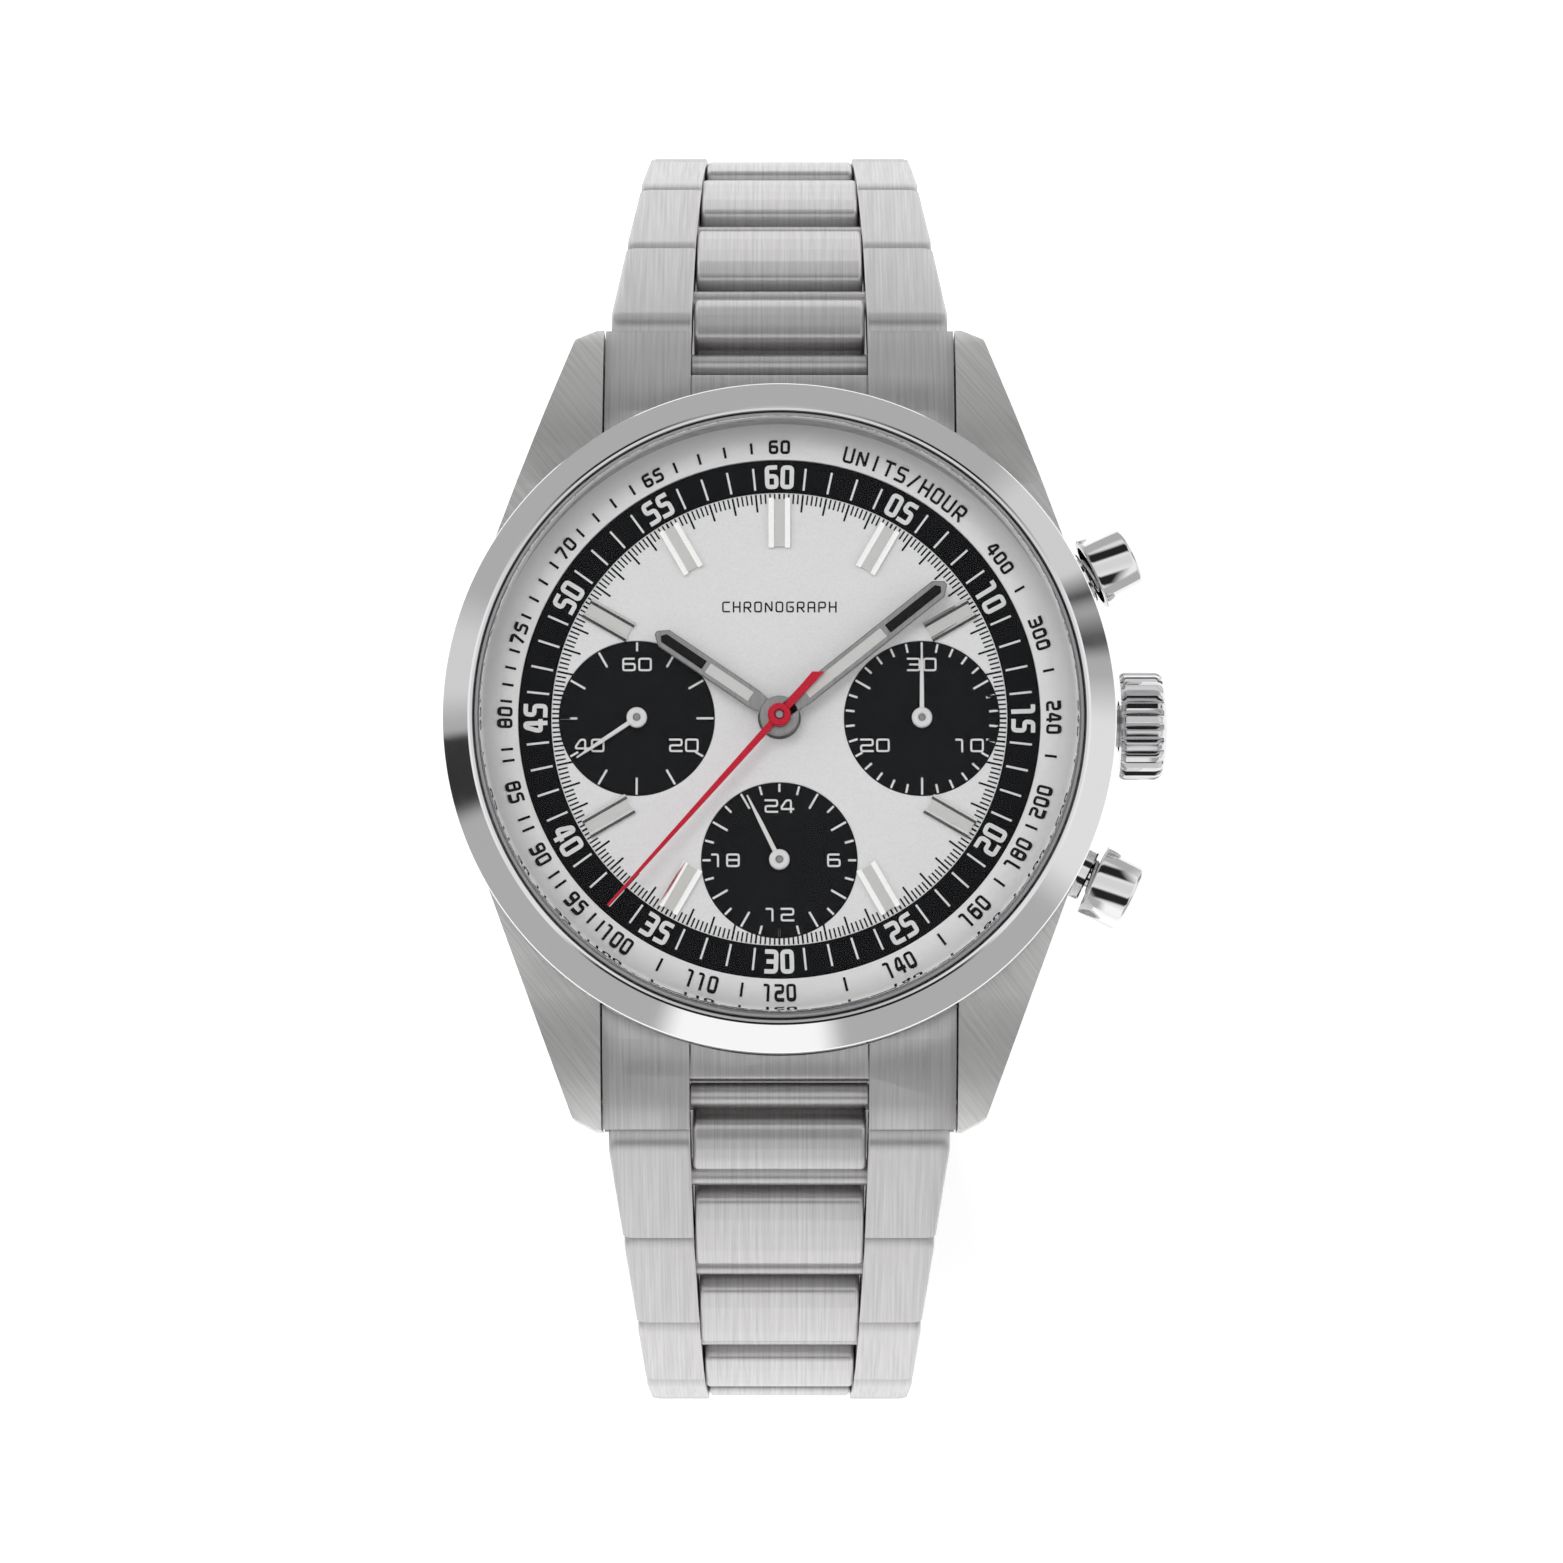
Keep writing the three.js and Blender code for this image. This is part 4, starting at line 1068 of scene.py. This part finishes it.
def build_link(side, index):
    """Two tapering outer pieces joined by a recessed bar, with the pins and the centre piece after it."""
    near, far = hinge_point(side, index), hinge_point(side, index + 1)
    pitch = (far - near).length
    slope = slope_of(near, far)
    last = index == LINK_COUNT
    body = f"{side}_link_{index}"
    outer = HALF_WIDTHS[index - 1], HALF_WIDTHS[index]
    inner = CENTRE_HALF[index - 1], CENTRE_HALF[index]
    matrix = strand_matrix(side, near, slope)
    build = Build()
    pins = Build()
    for way in (-1, 1):

        def widths(s, x, way=way):
            t = min(max(s / pitch, 0.0), 1.0)
            low = inner[0] + (inner[1] - inner[0]) * t + 0.07
            high = outer[0] + (outer[1] - outer[0]) * t
            return way * (low + (high - low) * x)

        build.add(soft_bar(outer_profile(pitch, last), 0.0, 1.0, 0.05, 0.16, widths))
        side_at = outer[0] + (outer[1] - outer[0]) * PIN_AT / pitch
        start, end = side_at - 2.0, side_at + 0.03
        head = [(0, start), (0.5, start), (0.5, side_at), (0.44, end), (0, end)]
        pins.add(along_x(turned(head, 24), way, PIN_AT, 0.0))
    span = inner[0] + 0.3
    build.add(soft_bar(bar_oval((BAR_AT, -0.15), 0.74), -span, span, 0.05, 0.05))
    if last:
        start, end = BAR_AT + 0.85, pitch - 0.2
        filler = rounded([(start, -1.1), (end, -1.1), (end, 1.2), (start, 1.25)], 0.4)
        build.add(soft_bar(filler, -inner[1] + 0.05, inner[1] - 0.05, 0.25, 0.25))
    piece(f"{side}_h_link_{index}", build, steel_links, body, "brushed_steel", [body], matrix=matrix)
    piece(f"{side}_link_pins_{index}", pins, steel_bright, body, "polished_steel", matrix=matrix)

    if not last:
        after = hinge_point(side, index + 2)
        first = near + (far - near).normalized() * CENTRE_START
        end = far + (after - far).normalized() * CENTRE_END
        dip = 0.9 * math.sin((slope_of(far, after) - slope) / 2)
        centre_piece(side, index, body, first, end, (inner[0] + inner[1]) / 2 - 0.06, dip)


def build_end_link(side):
    """The end link: hollowed round the case, with a centre part, a recessed bar and a bridging piece."""
    hinge = hinge_point(side, 1)
    tip = hinge.x
    matrix = mirrored(side)
    middle = CENTRE_HALF[0]
    slot_out = middle + 0.1
    slot_floor = 6.1
    bar_start = 20.2
    hollow = arc((tip, hinge.y), HALF_THICK + HINGE_PLAY, math.radians(100), math.radians(260), 10)
    top = [(15.4, 7.35), (18.0, 6.95), (20.0, 6.3), (21.6, 5.5)]
    side_view = top + [(y, z) for y, z in hollow if y < tip - 0.25] + [(tip - 1.0, 1.9), (15.4, 2.2)]
    tools = [
        ("DIFFERENCE", turned(solid(18.95, -3, 14), 192)),
        ("DIFFERENCE", block((-slot_out, bar_start, -2.0), (slot_out, 30.0, 14.0))),
        ("DIFFERENCE", block((-slot_out, 10.0, slot_floor), (-middle, 30.0, 14.0))),
        ("DIFFERENCE", block((middle, 10.0, slot_floor), (slot_out, 30.0, 14.0))),
        ("DIFFERENCE", rod_x(0.9, -12.0, 12.0, SPRING_BAR_Y, SPRING_BAR_Z)),
    ]
    metals = [steel_links, steel_edge]
    carve(f"{side}_end_piece", prism_x(side_view, 10.02), tools, metals, "case", "brushed_steel",
          f"{side}_end_link", 35.0, (0.14, 2, 32.0), matrix)
    bar = soft_bar(bar_oval((21.05, 0.0), 0.72), -middle - 0.05, middle + 0.05, 0.05, 0.05)
    build = Build().add(bar, place=lambda v: (v[0], v[1], v[2] + 4.15))
    piece(f"{side}_end_bar", build, steel_links, "case", "brushed_steel", matrix=matrix)
    first = Vector((tip - 1.35, hinge.y + 0.35))
    end = hinge + (hinge_point(side, 2) - hinge).normalized() * CENTRE_END
    centre_piece(side, 0, "case", first, end, middle - 0.06, 0.1)


def build_clasp():
    """The clasp's cover: a channel open towards the wrist, its ends eased, with a button in each side."""
    low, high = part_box("clasp_cover")
    half, reach = high.x / MM, high.y / MM
    bottom, top = low.z / MM, high.z / MM
    ease = 0.2
    corners = [(-half, top, 0.15), (-half, bottom, 0.9), (half, bottom, 0.9), (half, top, 0.15)]
    room, floor = half - 0.75, bottom + 0.85
    section = rounded(corners, 0.0, 6) + [(room, top), (room, floor), (-room, floor), (-room, top)]
    ends = []
    for y, lift in ((-reach, ease), (-reach + ease, 0.0), (reach - ease, 0.0), (reach, ease)):
        ends.append([(x, y, z + (lift if z < bottom + 0.4 else 0.0)) for x, z in section])
    button_low, button_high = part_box("clasp_button_right")
    y = (button_low.y + button_high.y) / 2 / MM
    z = (button_low.z + button_high.z) / 2 / MM
    bore = ("DIFFERENCE", rod_x(1.25, -12.0, 12.0, y, z, 48))
    carve("clasp_shell", loft(ends), [bore], [steel_links], "clasp_cover", "brushed_steel", "clasp_cover")
    start, crest = half - 1.0, half + 0.9
    cap = [(0, start), (1.1, start), (1.1, half + 0.7), (1.0, half + 0.85), (0.5, crest), (0, crest)]
    for side, way in (("right", 1), ("left", -1)):
        node = f"clasp_button_{side}"
        button = along_x(turned(cap, 64), way, y, z)
        piece(f"{node}_cap", button, steel_bright, node, "polished_steel", [node])


# Movement details seen through the case back


def build_movement_details():
    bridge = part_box("train_bridge")[0].z / MM
    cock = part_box("balance_cock")[0].z / MM
    screws = Build()
    for x, y in ((-11.6, 2.2), (11.2, 3.4), (2.5, 11.9), (0.5, -11.8)):
        z = bridge if y > 0 else cock
        head = [(0, z + 0.1), (0.75, z + 0.1), (0.75, z - 0.12), (0.62, z - 0.2), (0, z - 0.2)]
        screws.add(turned(head, 48, (x, y)))
    piece("bridge_screws", screws, blued, "case", "nickel")
    high, low = bridge + 0.1, bridge - 0.06
    ring = [(0.22, high), (0.62, high), (0.62, low), (0.5, bridge - 0.1), (0.22, low)]
    jewels = Build()
    for place in ((0.0, 0.0), (-6.5, 5.5), (5.0, 4.5), (7.5, 8.5)):
        jewels.add(turned(ring, 48, place))
    high, low = cock + 0.1, cock - 0.12
    cap = [(0, high), (0.7, high), (0.7, cock - 0.06), (0.55, low), (0, low)]
    jewels.add(turned(cap, 48, (5.5, -6.5)))
    piece("bearing_jewels", jewels, ruby, "case", "red_lacquer")


def coat_cad_nodes():
    """Carried-over CAD nodes take procedural materials and keep their shape."""
    coats = {
        nickel: ["main_plate", "pallet_fork", "column_wheel", "setting_lever", "winding_stem",
                 "upper_spring_bar", "lower_spring_bar", "start_pusher_spring", "reset_pusher_spring"],
        gilt: ["balance_wheel", "escape_wheel", "centre_wheel", "mainspring_barrel"],
        stripes: ["train_bridge", "balance_cock"],
        steel_plain: ["crown_tube", "clasp_outer_blade"],
        steel_links: ["clasp_inner_blade"],
        holder_grey: ["movement_holder"],
        rubber: ["case_back_gasket"],
    }
    for material, nodes in coats.items():
        for node in nodes:
            mesh = frame["nodes"][node].data
            mesh.materials.clear()
            mesh.materials.append(material)


# Stage


def build_stage():
    """A pale floor just under the clasp, which glows a little so that it is white in the picture."""
    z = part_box("clasp_cover")[0].z - 0.0002
    size = 3.0
    corners = [(-size, -size, z), (size, -size, z), (size, size, z), (-size, size, z)]
    mesh = bpy.data.meshes.new("floor")
    mesh.from_pydata(corners, [], [(0, 1, 2, 3)])
    white = (1.0, 1.0, 1.0, 1.0)
    paint = new_material("floor_white", (0.93, 0.93, 0.93), 0.0, 0.9, Emission_Strength=0.45,
                         Emission_Color=white)
    mesh.materials.append(paint)
    floor = bpy.data.objects.new("floor", mesh)
    bpy.context.scene.collection.objects.link(floor)


def area_light(name, place, size, power):
    """A soft box aimed at the dial, kept out of reflections and out of what is seen through the crystal."""
    data = bpy.data.lights.new(name, "AREA")
    data.shape = "RECTANGLE"
    data.size = size[0]
    data.size_y = size[1]
    data.energy = power
    lamp = bpy.data.objects.new(name, data)
    bpy.context.scene.collection.objects.link(lamp)
    lamp.visible_glossy = False
    lamp.visible_transmission = False
    lamp.location = place
    lamp.rotation_euler = (Vector((0, 0, 0)) - Vector(place)).to_track_quat("-Z", "Y").to_euler()


# Cards stood round the watch near the horizon, as compass angle clockwise from 12 o'clock, half
# width in degrees, softness of the edge in degrees and brightness
TENT_WALL = 0.5
CARDS = {
    "white card, upper right": (50, 8, 6, 0.75),
    "black flag, upper right": (66, 4, 3, 0.04),
    "white sheet, right": (98, 14, 8, 0.9),
    "white sheet, below": (186, 14, 5, 1.15),
    "black flag, left": (267, 6, 3, 0.04),
    "white card, left": (286, 5, 8, 0.75),
}
# Slots in the tent's roof let black bands into curved polished metal
ROOF = [
    (0.0, 0.95), (0.11, 0.95), (0.15, 0.02), (0.29, 0.02), (0.33, 0.95), (0.45, 0.8), (0.58, 0.8),
    (0.66, 0.95), (0.7, 0.02), (0.84, 0.02), (0.88, 0.85), (1.0, 0.85),
]


def horizon_stops():
    """The cards as stops of one brightness ramp round the compass."""
    stops = [(0.0, TENT_WALL)]
    for centre, half, edge, level in CARDS.values():
        stops += [(centre - half - edge, TENT_WALL), (centre - half, level)]
        stops += [(centre + half, level), (centre + half + edge, TENT_WALL)]
    stops.append((360.0, TENT_WALL))
    return [(angle / 360.0, level) for angle, level in sorted(stops)]


def build_world():
    """A studio tent: a bright slotted roof and sides, with cards stood round the horizon."""
    world = bpy.data.worlds.new("studio")
    bpy.context.scene.world = world
    world.use_nodes = True
    nodes, links = world.node_tree.nodes, world.node_tree.links
    coords = nodes.new("ShaderNodeTexCoord")
    split = nodes.new("ShaderNodeSeparateXYZ")
    links.new(coords.outputs["Generated"], split.inputs["Vector"])

    def ramp(value, stops):
        node = nodes.new("ShaderNodeValToRGB")
        elements = node.color_ramp.elements
        while len(elements) < len(stops):
            elements.new(0.5)
        for element, (position, level) in zip(elements, stops):
            element.position = position
            element.color = (level, level, level, 1.0)
        links.new(value, node.inputs["Fac"])
        return node.outputs["Color"]

    def math_node(operation, *values):
        node = nodes.new("ShaderNodeMath")
        node.operation = operation
        for socket, value in zip(node.inputs, values):
            if isinstance(value, float):
                socket.default_value = value
            else:
                links.new(value, socket)
        return node.outputs["Value"]

    compass = math_node("ARCTAN2", split.outputs["X"], split.outputs["Y"])
    turn = math_node("FRACT", math_node("MULTIPLY_ADD", compass, 0.5 / math.pi, 1.0))
    horizon = ramp(turn, horizon_stops())
    fore = math_node("MULTIPLY_ADD", split.outputs["Y"], 0.5, 0.5)
    roof = ramp(fore, ROOF)
    sides = ramp(math_node("ABSOLUTE", split.outputs["X"]), [(0.0, 0.0), (0.4, 0.0), (0.6, 1.0), (1.0, 1.0)])
    upper = math_node("MAXIMUM", roof, sides)
    height = ramp(split.outputs["Z"], [(0.0, 0.0), (0.44, 0.0), (0.54, 1.0), (1.0, 1.0)])
    mix = nodes.new("ShaderNodeMix")
    mix.data_type = "RGBA"
    mix.clamp_factor = True
    links.new(height, mix.inputs["Factor"])
    links.new(horizon, mix.inputs["A"])
    links.new(upper, mix.inputs["B"])
    links.new(mix.outputs["Result"], nodes["Background"].inputs["Color"])


def build_lights():
    area_light("overhead", (-0.1, 0.14, 0.46), (0.3, 0.2), 0.6)
    area_light("left_box", (-0.45, 0.1, 0.3), (0.2, 0.4), 0.4)
    area_light("right_box", (0.45, 0.0, 0.3), (0.2, 0.4), 0.25)


def build_camera():
    """Looks down on the dial from a little towards 6 o'clock."""
    tilt = math.radians(6.3)
    distance = 0.30
    width = 0.0882  # what the picture spans at the target
    target = Vector((0.00012, -0.0036, 0.009))
    data = bpy.data.cameras.new("camera")
    data.lens = data.sensor_width * distance / width
    data.clip_start = 0.01
    camera = bpy.data.objects.new("camera", data)
    bpy.context.scene.collection.objects.link(camera)
    camera.location = target + distance * Vector((0, -math.sin(tilt), math.cos(tilt)))
    camera.rotation_euler = (tilt, 0.0, 0.0)
    bpy.context.scene.camera = camera


build_mid_case()
build_bezel()
build_crystal()
build_case_back()
build_scale_ring()
build_seconds_ring()
build_dial()
build_markers()
build_subdials()
central_hand("hour_baton", "hour_hand", 8.4, {"white": (1.95, 4.85), "black": (5.1, 8.05)}, HOUR_ANGLE)
central_hand("minute_baton", "minute_hand", 12.0, {"white": (1.95, 7.5), "black": (7.8, 11.65)}, MINUTE_ANGLE)
build_chrono_hand()
build_small_hands()
build_crown()
build_pushers()
for strand in ("upper", "lower"):
    build_end_link(strand)
    for number in range(1, LINK_COUNT + 1):
        build_link(strand, number)
build_clasp()
build_movement_details()
coat_cad_nodes()
build_stage()
build_world()
build_lights()
build_camera()
bpy.context.scene.view_settings.view_transform = "Standard"
